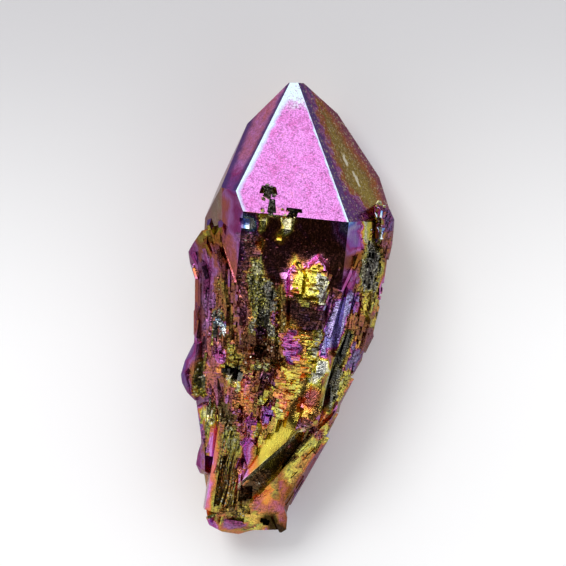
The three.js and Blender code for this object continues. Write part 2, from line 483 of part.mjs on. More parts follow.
// Growths strewn over part of the body: turns is the sector of the section they stand in, reach the
// stretch along it.
function strewn({ count, turns, reach, length, width, proud, seed }) {
  const random = seeded(seed);
  const between = ([low, high]) => low + (high - low) * random();
  return Array.from({ length: count }, () => {
    const turn = between(turns);
    const head = between(reach);
    const tail = Math.max(LOWEST_GROWTH, head - between(length));
    const stand = between(proud);
    const wide = between(width);
    const [a, b] = [onBody(head, turn), onBody(tail, turn)];
    a.hit.addScaledVector(a.outward, stand);
    b.hit.addScaledVector(b.outward, stand * between([0.5, 1]));
    return growth({
      from: a.hit.toArray(),
      to: b.hit.toArray(),
      width: [wide, wide * between([0.6, 1])],
      sink: between([1.2, 2.2]),
      out: a.outward,
    });
  });
}

// How long and wide the strewn growths are, and how far they stand proud, by the side they grow on.
const UNDERSIDE = { length: [3, 9], width: [0.6, 2], proud: [0.1, 0.7] };
const SIDES = { length: [2, 6], width: [0.5, 1.4], proud: [0.05, 0.4] };
const UPPER_SIDE = { length: [1.2, 3], width: [0.35, 0.8], proud: [0.2, 0.7] };
const STREWN = [
  { ...UNDERSIDE, count: 44, turns: [122, 238], reach: [-14, 6], seed: 41 },
  { ...SIDES, count: 22, turns: [78, 122], reach: [-14, 5], seed: 7 },
  { ...SIDES, count: 22, turns: [238, 284], reach: [-15, 4], seed: 19 },
  { ...UPPER_SIDE, count: 26, turns: [-34, 22], reach: [-15, -4.5], seed: 88 },
];

// Long columns underneath: the crystal rests on their flats and on its lowest prism face.
const DOWN = new THREE.Vector3(0, 0, -1);
const RESTS = [
  { from: [-2.6, 3.8, 0], to: [-3.6, -16.4, 0], width: [2.6, 2.2], sink: 3, out: DOWN },
  { from: [-4.6, -2.5, 0.15], to: [-5.4, -20.4, 0.2], width: [1.3, 1.2], sink: 3, out: DOWN },
  { from: [0.3, 3.9, 0.2], to: [-1.9, -17.4, 0.15], width: [1.7, 1.2], sink: 2.4, out: DOWN },
  { from: [3.4, 4.2, 0], to: [1.9, -10.5, 0], width: [2.0, 1.6], sink: 3, out: DOWN },
];

// ---- the whole crystal --------------------------------------------------------------------------
const join = (solids) => solids.reduce((all, next) => all.add(next));

// Growths that meet can close a small void between them: only the shell round the whole crystal is kept.
const outerShell = (solid) =>
  solid.decompose().reduce((largest, next) => (next.volume() > largest.volume() ? next : largest));

// Thin columns and spikes that stand in the hollows.
const INSETS = [
  { from: [-5.3, -14.4, 9.0], to: [-5.8, -20.0, 7.3], width: [0.3, 0.3], sink: 1.6 },
  { from: [-6.2, -15.4, 8.7], to: [-6.7, -20.2, 7.2], width: [0.3, 0.25], sink: 1.6 },
  { from: [-4.8, -16.6, 8.4], to: [-5.0, -20.0, 7.2], width: [0.25, 0.3], sink: 1.4 },
  { from: [2.3, -11.4, 9.9], to: [1.5, -13.3, 9.2], width: [0.2, 0.25], sink: 1.4, turn: 10 },
  { from: [3.0, -11.2, 9.8], to: [2.7, -13.2, 9.0], width: [0.2, 0.25], sink: 1.4, turn: 16 },
  { from: [-2.0, 1.6, 15.6], to: [-2.1, -0.6, 14.9], width: [0.4, 0.4], sink: 1 },
  { from: [-3.1, 2.8, 15.6], to: [-3.2, 0.6, 15.1], width: [0.3, 0.4], sink: 1 },
];

function crystalSolid() {
  let solid = join([
    point(),
    body(),
    ...FRONT_GROWTHS.map(growth),
    ...LOBES,
    ...foot(),
    ...RESTS.map(growth),
    ...STREWN.flatMap(strewn),
  ]);
  solid = solid.subtract(join([...FRONT_PITS.map(pit), fracture()]));
  solid = join([solid, ...lip()]).subtract(join(groove()));
  solid = join([solid, ...INSETS.map(growth)]);
  const below = solidOf(new THREE.BoxGeometry(60, 80, 20).translate(0, 0, -10));
  return outerShell(solid.subtract(below));
}

function centredOnItsFootprint(solid) {
  const { min, max } = solid.boundingBox();
  return solid.translate([-(min[0] + max[0]) / 2, -(min[1] + max[1]) / 2, -min[2]]);
}

const mesh = centredOnItsFootprint(crystalSolid()).getMesh();
const geometry = new THREE.BufferGeometry()
  .setAttribute("position", new THREE.BufferAttribute(mesh.vertProperties, 3))
  .setIndex(new THREE.BufferAttribute(mesh.triVerts, 1));

const aura = new THREE.MeshStandardMaterial({ color: 0x8a4a6e, roughness: 0.28, metalness: 0.9 });
const part = new THREE.Mesh(geometry, aura);
part.name = "crystal";

const group = new THREE.Group();
group.add(part);
export default group;
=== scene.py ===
# Aura quartz point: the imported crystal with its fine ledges, etch pits and thin-film colours.
import bpy
import bmesh
import json
import math
import random
import numpy as np
from types import SimpleNamespace
from mathutils import Matrix, Vector, noise
from mathutils.bvhtree import BVHTree

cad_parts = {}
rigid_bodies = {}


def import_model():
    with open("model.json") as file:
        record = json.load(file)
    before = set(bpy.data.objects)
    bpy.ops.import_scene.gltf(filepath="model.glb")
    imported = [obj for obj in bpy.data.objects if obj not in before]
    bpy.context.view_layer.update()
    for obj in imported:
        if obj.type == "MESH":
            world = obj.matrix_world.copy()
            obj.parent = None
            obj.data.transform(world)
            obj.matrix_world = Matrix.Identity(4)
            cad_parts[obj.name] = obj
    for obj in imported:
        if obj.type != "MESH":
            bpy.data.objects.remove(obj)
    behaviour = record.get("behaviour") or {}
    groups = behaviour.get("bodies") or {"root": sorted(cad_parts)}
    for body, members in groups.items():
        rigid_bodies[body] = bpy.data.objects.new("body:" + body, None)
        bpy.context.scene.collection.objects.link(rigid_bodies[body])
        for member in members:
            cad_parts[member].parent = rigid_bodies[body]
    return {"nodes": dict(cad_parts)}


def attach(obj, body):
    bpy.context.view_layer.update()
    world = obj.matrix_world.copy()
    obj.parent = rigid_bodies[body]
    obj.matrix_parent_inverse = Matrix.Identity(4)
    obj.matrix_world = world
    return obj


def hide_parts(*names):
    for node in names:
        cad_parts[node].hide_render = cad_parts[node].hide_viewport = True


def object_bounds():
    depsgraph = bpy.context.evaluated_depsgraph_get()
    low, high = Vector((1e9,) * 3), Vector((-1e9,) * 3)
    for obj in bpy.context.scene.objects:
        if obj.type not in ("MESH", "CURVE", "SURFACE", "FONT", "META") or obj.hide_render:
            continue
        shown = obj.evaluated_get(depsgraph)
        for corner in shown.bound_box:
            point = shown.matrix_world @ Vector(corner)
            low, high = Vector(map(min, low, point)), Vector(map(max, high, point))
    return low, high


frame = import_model()
cadBox = [list(corner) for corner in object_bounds()]
mm = 0.001
scene = bpy.context.scene
down = Vector((0, 0, -1))

# the way the crystal lies: its long axis leans, rises and rolls a few degrees
lie = {"lean": 6.2, "rise": 5.2, "roll": 4.6}
tipAngle = 51.8   # degrees between the long axis and the way a face of the point faces


def deselectAll():
    for thing in bpy.context.selected_objects:
        thing.select_set(False)


def makeActive(thing):
    deselectAll()
    thing.select_set(True)
    bpy.context.view_layer.objects.active = thing


def crystalAxes():
    lean, rise, roll = (math.radians(lie[key]) for key in ("lean", "rise", "roll"))
    along = Vector((math.sin(lean) * math.cos(rise), math.cos(lean) * math.cos(rise), math.sin(rise)))
    up = Vector((0, 0, 1))
    front = (up - along * up.dot(along)).normalized()
    front = Matrix.Rotation(roll, 3, along) @ front
    return along, front


alongPoint, frontFacing = crystalAxes()


def tipFace(sixths):
    # the way a face of the point faces, counted in sixths of a turn from the front one
    side = Matrix.Rotation(sixths * math.radians(60), 3, alongPoint) @ frontFacing
    return alongPoint * math.cos(math.radians(tipAngle)) + side * math.sin(math.radians(tipAngle))


# ---- camera

view = {"centre": (-0.45, 2.6), "height": 900, "across": 56.6, "sharpAt": 8}   # mm
sensor = 36


def makeCamera():
    camera = bpy.data.cameras.new("camera")
    camera.sensor_width = sensor
    camera.lens = sensor * (view["height"] - view["sharpAt"]) / view["across"]
    holder = bpy.data.objects.new("camera", camera)
    holder.location = (view["centre"][0] * mm, view["centre"][1] * mm, view["height"] * mm)
    scene.collection.objects.link(holder)
    scene.camera = holder


makeCamera()
print("camera placed")

# ---- floor and light

table = {
    "half": 3.0, "near": (0.96, 0.96, 0.97), "far": (0.60, 0.595, 0.615),
    # the far colour is darker: painted shade where the light falls off away from the near side
    "fade": (-8, 36),   # mm along y, from the near colour to the far one
    "roughness": 0.9, "shine": 0.1,
}
studio = {   # brightness, then the way to each light and where its edge fades
    "sides": 1.04,
    "overhead": 0.03, "overheadAt": (0.0, -0.14, 0.99), "overheadEdge": (0.74, 0.93),
    "window": 0.8, "windowAt": (-0.10, 0.90, 0.42), "windowEdge": (0.80, 0.93),
    "key": 1.05, "keyAt": (-0.42, 0.50, 0.85), "keySize": 26,
}


def addNode(tree, kind, settings=None, values=None, output=0):
    # one node: its settings first, then the numbers or links of its sockets
    node = tree.nodes.new(kind)
    for key, setting in (settings or {}).items():
        if key == "stops":
            ramp = node.color_ramp
            ramp.elements.remove(ramp.elements[-1])
            ramp.elements[0].position = setting[0][0]
            ramp.elements[0].color = (*setting[0][1], 1)
            for place, colour in setting[1:]:
                ramp.elements.new(place).color = (*colour, 1)
        else:
            setattr(node, key, setting)
    for key, value in (values or {}).items():
        if isinstance(value, Wire):
            tree.links.new(value.socket, node.inputs[key])
        else:
            node.inputs[key].default_value = value
    return Wire(tree, node.outputs[output])


class Wire:
    # an output socket; arithmetic on it adds Math nodes
    def __init__(self, tree, socket):
        self.tree = tree
        self.socket = socket

    def math(self, operation, first, second):
        return addNode(self.tree, "ShaderNodeMath", {"operation": operation}, {0: first, 1: second})

    def __add__(self, other):
        return self.math("ADD", self, other)

    def __radd__(self, other):
        return self.math("ADD", other, self)

    def __sub__(self, other):
        return self.math("SUBTRACT", self, other)

    def __rsub__(self, other):
        return self.math("SUBTRACT", other, self)

    def __mul__(self, other):
        return self.math("MULTIPLY", self, other)

    def __rmul__(self, other):
        return self.math("MULTIPLY", other, self)

    def lesser(self, other):
        return self.math("MINIMUM", self, other)

    def greater(self, other):
        return self.math("MAXIMUM", self, other)

    def size(self):
        return self.math("ABSOLUTE", self, 0)

    def ramp(self, start, end, low=0, high=1):
        # eases from low to high as the value goes from start to end
        return addNode(self.tree, "ShaderNodeMapRange", {"interpolation_type": "SMOOTHSTEP"},
                       {0: self, 1: start, 2: end, 3: low, 4: high})

    def part(self, index):
        return addNode(self.tree, "ShaderNodeSeparateXYZ", values={0: self}, output=index)

    def vector(self, operation, other, output=0):
        key = 3 if operation == "SCALE" else 1
        return addNode(self.tree, "ShaderNodeVectorMath", {"operation": operation},
                       {0: self, key: other}, output)

    def along(self, direction):
        return self.vector("DOT_PRODUCT", direction, 1)

    def vectorToward(self, other, share):
        return addNode(self.tree, "ShaderNodeMix", {"data_type": "VECTOR"}, {0: share, 4: self, 5: other}, 1)

    def colourToward(self, other, share, blend="MIX"):
        return addNode(self.tree, "ShaderNodeMix", {"data_type": "RGBA", "blend_type": blend},
                       {0: share, 6: self, 7: other}, 2)


def makeFloor():
    bpy.ops.mesh.primitive_plane_add(size=2 * table["half"], location=(0, 0, 0))
    floor = bpy.context.object
    floor.name = "floor"
    paper = bpy.data.materials.new("pale_floor")
    paper.use_nodes = True
    tree = paper.node_tree
    shader = tree.nodes["Principled BSDF"]
    shader.inputs["Roughness"].default_value = table["roughness"]
    shader.inputs["Specular IOR Level"].default_value = table["shine"]
    start, end = table["fade"]
    # painted shade: the floor darkens along y, away from the near side
    far = addNode(tree, "ShaderNodeTexCoord", output=3).part(1).ramp(start * mm, end * mm)
    colour = addNode(tree, "ShaderNodeMix", {"data_type": "RGBA"},
                     {0: far, 6: (*table["near"], 1), 7: (*table["far"], 1)}, 2)
    tree.links.new(colour.socket, shader.inputs["Base Color"])
    floor.data.materials.append(paper)


def makeLight():
    world = bpy.data.worlds.new("studio")
    scene.world = world
    world.use_nodes = True
    tree = world.node_tree
    tree.nodes.clear()
    direction = addNode(tree, "ShaderNodeTexCoord")
    overhead = direction.along(Vector(studio["overheadAt"]).normalized()).ramp(
        *studio["overheadEdge"], studio["sides"], studio["overhead"])
    window = direction.along(Vector(studio["windowAt"]).normalized()).ramp(
        *studio["windowEdge"], 0, studio["window"])
    background = addNode(tree, "ShaderNodeBackground", values={0: (1, 1, 1, 1), 1: overhead + window})
    output = tree.nodes.new("ShaderNodeOutputWorld")
    tree.links.new(background.socket, output.inputs[0])
    lamp = bpy.data.lights.new("key", "SUN")
    lamp.energy = studio["key"]
    lamp.angle = math.radians(studio["keySize"])
    holder = bpy.data.objects.new("key", lamp)
    holder.rotation_euler = Vector(studio["keyAt"]).to_track_quat("Z", "Y").to_euler()
    scene.collection.objects.link(holder)


makeFloor()
makeLight()
scene.view_settings.view_transform = "Standard"
print("floor and light made")

# ---- fine growth on the crystal

growth = {
    "seed": 11, "seedStep": 7,   # each row of the lists below has its own chance
    "fineness": 40,   # places of chance in a millimetre
    "weld": 1e-7, "cutNear": 1e-8,   # m; corners this near to one another, or to a cut, are one with it
    "flat": 0.4,   # degrees; facets that turn less than this from one another become one
    "broad": 0.35, "cell": 0.5,   # a facet over this many square mm is cut into cells this wide
    "cellReach": (11, 23),   # mm from the middle, across and along
    "above": 50,   # mm, higher than all of the crystal
    # the least rise of the ground on which each kind grows: 1 is level, 0 upright
    "least": {"pits": 0.6, "columns": 0.3, "steps": 0.3, "grains": -1, "cracks": 0.5, "notches": 0.6},
    # how many degrees a single one may turn from its row's heading
    "stray": {"pits": 6, "columns": 5, "steps": 5, "cracks": 4, "notches": 3, "flanks": 4},
    "pitDepth": (0.5, 1.2), "crackDepth": (0.6, 1.2),   # shares of the row's depth
    "crackWidth": (0.06, 0.11), "crackPlace": (0.3, 0.7),   # mm, and shares of the row's spacing
    "thickness": {"columns": 0.8, "steps": 0.5, "flanks": 0.8}, "lift": (0.02, 0.16),   # mm
    "follow": 0.8,   # how much a column leans to the ground under it
    "grainHeight": 1.3, "grainTilt": 70,
    # columns on the sides and underneath
    "flanks": {
        "count": 420, "along": (-19, 6), "around": (-2.6, 2.6),   # mm, and radians from straight up
        "highest": 0.45,   # their greatest rise: 1 is straight up, 0 sideways
        "middle": (-0.6, 6), "drift": 0.1,   # mm: x and z of the line they ring, and its drift per mm
        "start": 40, "lowest": 0.5,   # mm: how far out they are dropped from, and the least height
        "width": (0.25, 0.7), "length": (1.0, 4.5), "lift": (0.02, 0.12), "tilt": (2, 9),
    },
    # smooth forms on which nothing grows: from, to (mm), half width
    "bare": [
        ((5.4, 0.9), (4.2, -3.2), 0.45),      # violet ridge
        ((3.7, -4.8), (2.2, -8.8), 0.7),      # lip
        ((2.4, -8.2), (1.3, -10.2), 1.2),
        ((2.2, -8.8), (-2.9, -15.6), 1.15),
        ((-2.9, -15.6), (-4.9, -17.9), 0.6),
        ((-3.8, -13.0), (-4.2, -15.6), 0.75),   # diamond
        ((-4.2, -15.6), (-5.1, -18.0), 0.3),
        ((-7.1, -12.0), (-8.2, -20.5), 0.45),   # blade
        ((-2.4, -18.2), (-0.8, -20.8), 1.3),   # wedge
    ],
    # corner to corner (mm), how many, width, length, then degrees: heading, slope to the foot, spread of tilt
    "columns": [
        ((-9.2, 3.6), (-7.2, -9.6), 24, (0.16, 0.36), (1.0, 3.6), -3, 2, 4),
        ((-7.0, 3.6), (-4.9, -4.0), 36, (0.14, 0.30), (0.8, 2.4), -6, 4, 8),
        ((-9.4, 7.4), (-6.2, 3.4), 30, (0.2, 0.42), (1.0, 2.8), -26, 3, 5),
        ((3.4, 2.0), (6.6, -6.6), 14, (0.14, 0.30), (2.0, 5.0), 15, 2, 3),
        ((6.2, 4.6), (9.2, -4.6), 44, (0.16, 0.36), (0.8, 2.6), 12, 5, 10),
        ((8.9, 10.0), (10.4, 5.4), 40, (0.18, 0.4), (0.4, 1.4), 4, 5, 16),
        ((4.4, -5.4), (6.2, -9.6), 16, (0.16, 0.3), (0.6, 1.6), 22, 8, 8),
        ((-6.6, -6.0), (-3.0, -12.8), 46, (0.2, 0.5), (0.6, 2.4), 2, 10, 9),
        ((-3.2, -8.8), (-0.6, -12.8), 24, (0.2, 0.5), (0.6, 2.0), 4, 10, 9),
        ((-6.8, -13.6), (-4.9, -19.8), 60, (0.06, 0.15), (1.2, 4.5), 6, 5, 10),
        ((-8.6, -10.0), (-6.2, -14.0), 20, (0.16, 0.3), (0.6, 1.8), 4, 6, 10),
        ((0.2, -13.6), (3.6, -16.6), 12, (0.10, 0.2), (0.8, 2.2), 38, 2, 5),
    ],
    "steps": [
        ((-0.2, -2.6), (3.8, -6.4), 44, (0.5, 1.4), (0.25, 0.6), 2, 17, 6),
        ((-1.4, -6.2), (2.6, -12.4), 80, (0.4, 1.2), (0.25, 0.7), 4, 18, 9),
        ((-4.8, -3.8), (-1.2, -6.8), 36, (0.3, 0.8), (0.2, 0.5), 4, 12, 12),
        ((-6.8, -4.2), (-4.6, -6.8), 30, (0.25, 0.6), (0.2, 0.5), 0, 14, 10),
        ((-5.6, -7.8), (-3.2, -12.8), 40, (0.3, 0.7), (0.16, 0.4), 2, 12, 10),
        ((1.0, 0.6), (3.6, -1.8), 22, (0.3, 0.9), (0.2, 0.5), 2, 6, 7),
    ],
    "grains": [
        ((-4.5, 3.6), (-2.6, -3.8), 240, (0.12, 0.3)),
        ((-2.7, 2.6), (-0.8, -5.0), 200, (0.12, 0.3)),
        ((0.3, 4.6), (3.9, 1.2), 40, (0.14, 0.3)),
        ((-2.5, 12.3), (-1.2, 9.6), 22, (0.2, 0.4)),
        ((-0.6, 9.9), (0.9, 8.3), 12, (0.2, 0.4)),
        ((7.4, 6.4), (9.2, -0.6), 110, (0.12, 0.3)),
        ((-7.2, 3.4), (-6.4, -3.6), 70, (0.12, 0.28)),
        ((-7.2, -14.0), (-5.0, -20.0), 70, (0.1, 0.22)),
        ((-6.6, -6.4), (-1.0, -12.6), 70, (0.12, 0.26)),
        ((1.6, -11.6), (4.4, -14.0), 40, (0.1, 0.24)),
        ((4.8, -2.4), (8.2, -8.0), 60, (0.12, 0.26)),
        ((-9.8, -5.6), (-8.0, -8.6), 40, (0.12, 0.26)),
        ((9.0, 10.4), (10.4, 5.0), 60, (0.12, 0.26)),
    ],
    # corner to corner, how many, width, length, depth
    "pits": [
        ((-1.95, 11.7), (-1.85, 11.6), 1, (1.8, 1.9), (1.5, 1.6), 0.6),   # keyhole in the front face
        ((-1.55, 10.4), (-1.5, 10.3), 1, (0.9, 1.0), (1.8, 1.9), 0.7),
        ((0.55, 9.6), (0.6, 9.5), 1, (1.6, 1.7), (1.2, 1.3), 0.6),
        ((-4.7, -17.7), (-3.9, -18.8), 6, (0.9, 1.3), (1.0, 1.5), 1.4),   # lower end of the groove
        ((-2.5, -21.2), (-0.9, -21.9), 9, (0.7, 1.2), (0.5, 0.8), 1.2),   # hollow in the foot
        ((-6.6, -3.6), (-1.0, -6.8), 46, (0.3, 0.7), (0.3, 0.9), 0.6),
        ((-5.0, -6.8), (3.0, -12.2), 60, (0.16, 0.5), (0.2, 0.5), 0.45),
        ((-0.4, -2.4), (3.8, -6.6), 22, (0.16, 0.5), (0.2, 0.4), 0.35),
        ((3.4, 1.0), (8.6, -9.4), 50, (0.15, 0.36), (0.4, 1.4), 0.4),
        ((-8.8, 2.8), (-4.8, -9.6), 40, (0.14, 0.3), (0.4, 1.2), 0.35),
        ((-4.6, 7.2), (-2.0, 2.6), 26, (0.10, 0.24), (0.14, 0.4), 0.16),
        ((7.4, 6.8), (9.4, -0.6), 40, (0.2, 0.4), (0.3, 1.0), 0.6),
        ((9.0, 10.0), (10.2, 5.4), 24, (0.14, 0.4), (0.2, 0.6), 0.3),
    ],
    # thin cracks across the growth: corner to corner, spacing, chance, width, depth, heading
    "cracks": [
        ((-3.0, 5.4), (-0.8, -0.4), 0.34, 0.4, (0.3, 0.8), 0.10, 2),
        ((-0.1, -2.4), (2.6, -6.4), 0.38, 0.7, (0.5, 1.3), 0.2, 2),
        ((-1.2, -6.6), (1.8, -12.0), 0.40, 0.55, (0.4, 1.0), 0.2, 4),
        ((-5.6, -7.6), (-3.2, -12.6), 0.32, 0.6, (0.25, 0.7), 0.16, 2),
        ((-7.9, 0.6), (-7.3, -9.2), 0.3, 0.5, (0.2, 0.5), 0.10, 0),
        ((1.0, 0.8), (3.5, -2.0), 0.3, 0.6, (0.3, 0.8), 0.14, 2),
    ],
    # steps whose sloping side lies parallel to the front rhomb: corner to corner, how many, width, length
    "notches": [
        ((-4.3, 8.6), (-4.2, 8.5), 1, (1.0, 1.05), (0.9, 0.95)),
        ((-2.95, 6.5), (-2.85, 6.4), 1, (0.7, 0.75), (0.7, 0.75)),
        ((-0.85, 7.2), (-0.75, 7.1), 1, (0.5, 0.55), (0.5, 0.55)),
        ((-0.1, 8.6), (0.0, 8.5), 1, (0.95, 1.0), (1.2, 1.3)),
        ((-2.4, 9.0), (-2.3, 8.9), 1, (0.75, 0.8), (1.1, 1.2)),
        ((-4.6, 7.4), (-0.6, 4.4), 20, (0.1, 0.3), (0.1, 0.3)),
        ((-4.7, 7.4), (-3.0, 0.8), 44, (0.4, 1.3), (0.04, 0.08)),
        ((0.6, 7.2), (4.6, 5.6), 7, (0.08, 0.2), (0.08, 0.2)),
        ((0.5, 4.6), (3.8, 1.6), 26, (0.4, 0.9), (0.3, 0.55)),
        ((-4.4, 3.8), (-1.0, -3.8), 60, (0.16, 0.4), (0.12, 0.3)),
        ((-0.2, -1.0), (3.6, -6.4), 20, (0.3, 0.9), (0.12, 0.25)),
        ((-1.4, -6.2), (2.6, -12.4), 30, (0.3, 0.8), (0.15, 0.3)),
        ((-6.8, -3.6), (-1.4, -12.6), 60, (0.2, 0.5), (0.15, 0.35)),
        ((-8.4, 3.0), (-4.8, -3.6), 26, (0.12, 0.3), (0.15, 0.5)),
        ((5.8, 1.6), (8.6, -6.8), 36, (0.12, 0.3), (0.15, 0.5)),
        ((7.4, 9.6), (9.4, 0.6), 40, (0.12, 0.3), (0.12, 0.4)),
    ],
}
chance = random.Random(growth["seed"])
between = chance.uniform


def crystalCopy():
    node = frame["nodes"]["crystal"]
    piece = bpy.data.objects.new("aura_crystal", node.data.copy())
    scene.collection.objects.link(piece)
    mesh = bmesh.new()
    mesh.from_mesh(piece.data)
    # finer than the edit-mode operator allows
    bmesh.ops.remove_doubles(mesh, verts=mesh.verts, dist=growth["weld"])
    mesh.to_mesh(piece.data)
    mesh.free()
    return piece


def surfaceOf(piece):
    mesh = bmesh.new()
    mesh.from_mesh(piece.data)
    tree = BVHTree.FromBMesh(mesh)
    mesh.free()
    return tree


def reshape(thing, change):
    # applies the place of a primitive, then moves each of its corners
    makeActive(thing)
    bpy.ops.object.transform_apply(location=True, rotation=True, scale=True)
    for corner in thing.data.vertices:
        corner.co = change(corner.co)
    return thing


def modelColumn():
    # a unit crystal: flat top at z = 0, flanks that slope out, a long slope towards the tip
    bpy.ops.mesh.primitive_cube_add(size=1, location=(0, 0, -0.5))
    return reshape(bpy.context.object, lambda co: co if co.z > -0.2 else
                   Vector((co.x * 1.8, co.y * 1.1 + (0.2 if co.y > 0 else 0), co.z)))


def modelGrain():
    # a unit grain: a six-sided crystal with a point at each end
    bpy.ops.mesh.primitive_cylinder_add(vertices=6, radius=0.5, depth=0.6, location=(0, 0, 0))
    grain = bpy.context.object
    makeActive(grain)
    bpy.ops.object.mode_set(mode="EDIT")
    bpy.ops.mesh.select_all(action="SELECT")
    bpy.ops.mesh.poke(offset=0.0)
    bpy.ops.object.mode_set(mode="OBJECT")
    return reshape(grain, lambda co: Vector((0, 0, 0.62 if co.z > 0 else -0.62))
                   if co.xy.length < 0.01 else co)


def modelPit():
    # a unit hopper pit: its mouth over z = 0, its floor smaller
    bpy.ops.mesh.primitive_cube_add(size=1, location=(0, 0, 0))
    return reshape(bpy.context.object, lambda co: Vector((co.x, co.y, 1)) if co.z > 0 else
                   Vector((co.x * 0.55, co.y * 0.55, -1)))


def modelNotch():
    # a unit wedge: its floor lies parallel to the front face of the point, its other end is steep
    bpy.ops.mesh.primitive_cube_add(size=1, location=(0, 0, 0))
    fall = math.tan(math.radians(90 - tipAngle))
    return reshape(bpy.context.object, lambda co: Vector((co.x, co.y if co.y > 0 else -1.5, fall))
                   if co.z > 0 else Vector((co.x, 0.5 if co.y > 0 else 0.46, -fall)))


def modelCrack():
    # a unit wedge that lies across the growth
    bpy.ops.mesh.primitive_cube_add(size=1, location=(0, 0, 0))
    return reshape(bpy.context.object, lambda co: Vector((co.x, co.y, 1)) if co.z > 0 else
                   Vector((co.x * 0.9, co.y * 0.15, -1)))


def offLine(spot, start, end):
    # how far a spot lies from the line between two places, seen from above
    run = Vector(end) - Vector(start)
    away = spot - Vector(start)
    return (away - run * min(max(away.dot(run) / run.length_squared, 0), 1)).length


def newGroup(name):
    group = bpy.data.collections.new(name)
    scene.collection.children.link(group)
    return group


def placeCopy(model, group, spot, facing, size, heading=0.0, tilt=(0.0, 0.0), within=None):
    # a copy of the model on the surface: its z along facing, its y along the point
    along = (alongPoint - facing * alongPoint.dot(facing)).normalized()
    across = along.cross(facing).normalized()
    turned = Matrix((across, along, facing)).transposed()
    for degrees, axis in ((-heading, "Z"), (tilt[0], "X"), (tilt[1], "Y")):
        turned = turned @ Matrix.Rotation(math.radians(degrees), 3, axis)
    mesh = model.data.copy()
    mesh.transform(Matrix.Translation(spot) @ turned.to_4x4() @ Matrix.Diagonal((*size, 1)))
    if within:
        for corner in mesh.vertices:
            above = Vector((corner.co.x, corner.co.y, growth["above"] * mm))
            if corner.co.z > cadBox[1][2] or within.ray_cast(above, down)[0] is None:
                return   # it would change the outline
    group.objects.link(bpy.data.objects.new("bit", mesh))


def combine(piece, group, operation):
    makeActive(piece)
    modifier = piece.modifiers.new("combine", "BOOLEAN")
    modifier.operation = operation
    modifier.solver = "MANIFOLD"
    modifier.operand_type = "COLLECTION"
    modifier.collection = group
    bpy.ops.object.modifier_apply(modifier="combine")
    for thing in list(group.objects):
        bpy.data.objects.remove(thing)
    bpy.data.collections.remove(group)
    print(operation.lower(), "leaves", len(piece.data.polygons), "faces")


def rows(key):
    # each row has its own chance, so a change to one leaves the others as they are
    for index, row in enumerate(growth[key]):
        chance.seed(growth["seed"] + growth["seedStep"] * index)
        yield row


def ground(surface, x, y, key):
    # the spot under a place seen from above and the way it faces, if this kind may grow there
    if any(offLine(Vector((x, y)), start, end) < half for start, end, half in growth["bare"]):
        return None, None
    spot, facing = surface.ray_cast(Vector((x * mm, y * mm, growth["above"] * mm)), down)[:2]
    if spot is None or facing.z < growth["least"][key]:
        return None, None
    return spot, facing


def scattered(surface, key):
    # spots by chance within each row's corners, with what else the row says
    for (x0, y0), (x1, y1), count, *others in rows(key):
        for _ in range(count):
            spot, facing = ground(surface, between(x0, x1), between(y0, y1), key)
            if spot is not None:
                yield spot, facing, *others


def stray(key):
    return between(-growth["stray"][key], growth["stray"][key])


def digPits(surface, group, pit):
    for spot, facing, width, length, depth in scattered(surface, "pits"):
        size = (between(*width) * mm, between(*length) * mm, depth * between(*growth["pitDepth"]) * mm)
        placeCopy(pit, group, spot, frontFacing, size, stray("pits"))


def addColumns(surface, group, column, key):
    for spot, facing, width, length, heading, slope, spread in scattered(surface, key):
        top = (frontFacing + facing * growth["follow"]).normalized()
        size = (between(*width) * mm, between(*length) * mm, growth["thickness"][key] * mm)
        placeCopy(column, group, spot + top * between(*growth["lift"]) * mm, top, size,
                  heading + stray(key), (slope + between(-spread, spread), between(-spread, spread)), surface)


def addGrains(surface, group, grain):
    tilt = growth["grainTilt"]
    for spot, facing, width in scattered(surface, "grains"):
        wide = between(*width) * mm
        placeCopy(grain, group, spot, facing, (wide, wide, wide * growth["grainHeight"]), between(0, 360),
                  (between(-tilt, tilt), between(-tilt, tilt)), surface)


def addFlanks(surface, group, column):
    flanks = growth["flanks"]
    middle, height = flanks["middle"]
    ends, sides = flanks["tilt"]
    for _ in range(flanks["count"]):
        y, around = between(*flanks["along"]), between(*flanks["around"])
        away = Vector((math.sin(around), 0, math.cos(around)))
        if away.z > flanks["highest"]:
            continue
        line = Vector(((middle + flanks["drift"] * y) * mm, y * mm, height * mm))
        spot, facing, _, _ = surface.ray_cast(line + away * (flanks["start"] * mm), -away)
        if spot is None or spot.z < flanks["lowest"] * mm:
            continue
        size = (between(*flanks["width"]) * mm, between(*flanks["length"]) * mm,
                growth["thickness"]["flanks"] * mm)
        placeCopy(column, group, spot + facing * between(*flanks["lift"]) * mm, facing, size, stray("flanks"),
                  (between(-ends, ends), between(-sides, sides)), surface)


def cutCracks(surface, group, crack):
    for (x0, y0), (x1, y1), spacing, share, width, depth, heading in rows("cracks"):
        for i in range(int((y0 - y1) / spacing)):
            x = x0
            while x < x1:
                wide = between(*width)
                if chance.random() < share:
                    y = y0 - (i + between(*growth["crackPlace"])) * spacing
                    spot, facing = ground(surface, x + wide / 2, y, "cracks")
                    if spot is not None:
                        size = (wide * mm, between(*growth["crackWidth"]) * mm,
                                depth * between(*growth["crackDepth"]) * mm)
                        placeCopy(crack, group, spot, facing, size, heading + stray("cracks"))
                x += wide


def cutNotches(surface, group, notch):
    for spot, facing, width, length in scattered(surface, "notches"):
        long = between(*length) * mm
        placeCopy(notch, group, spot, frontFacing, (between(*width) * mm, long, long), stray("notches"))


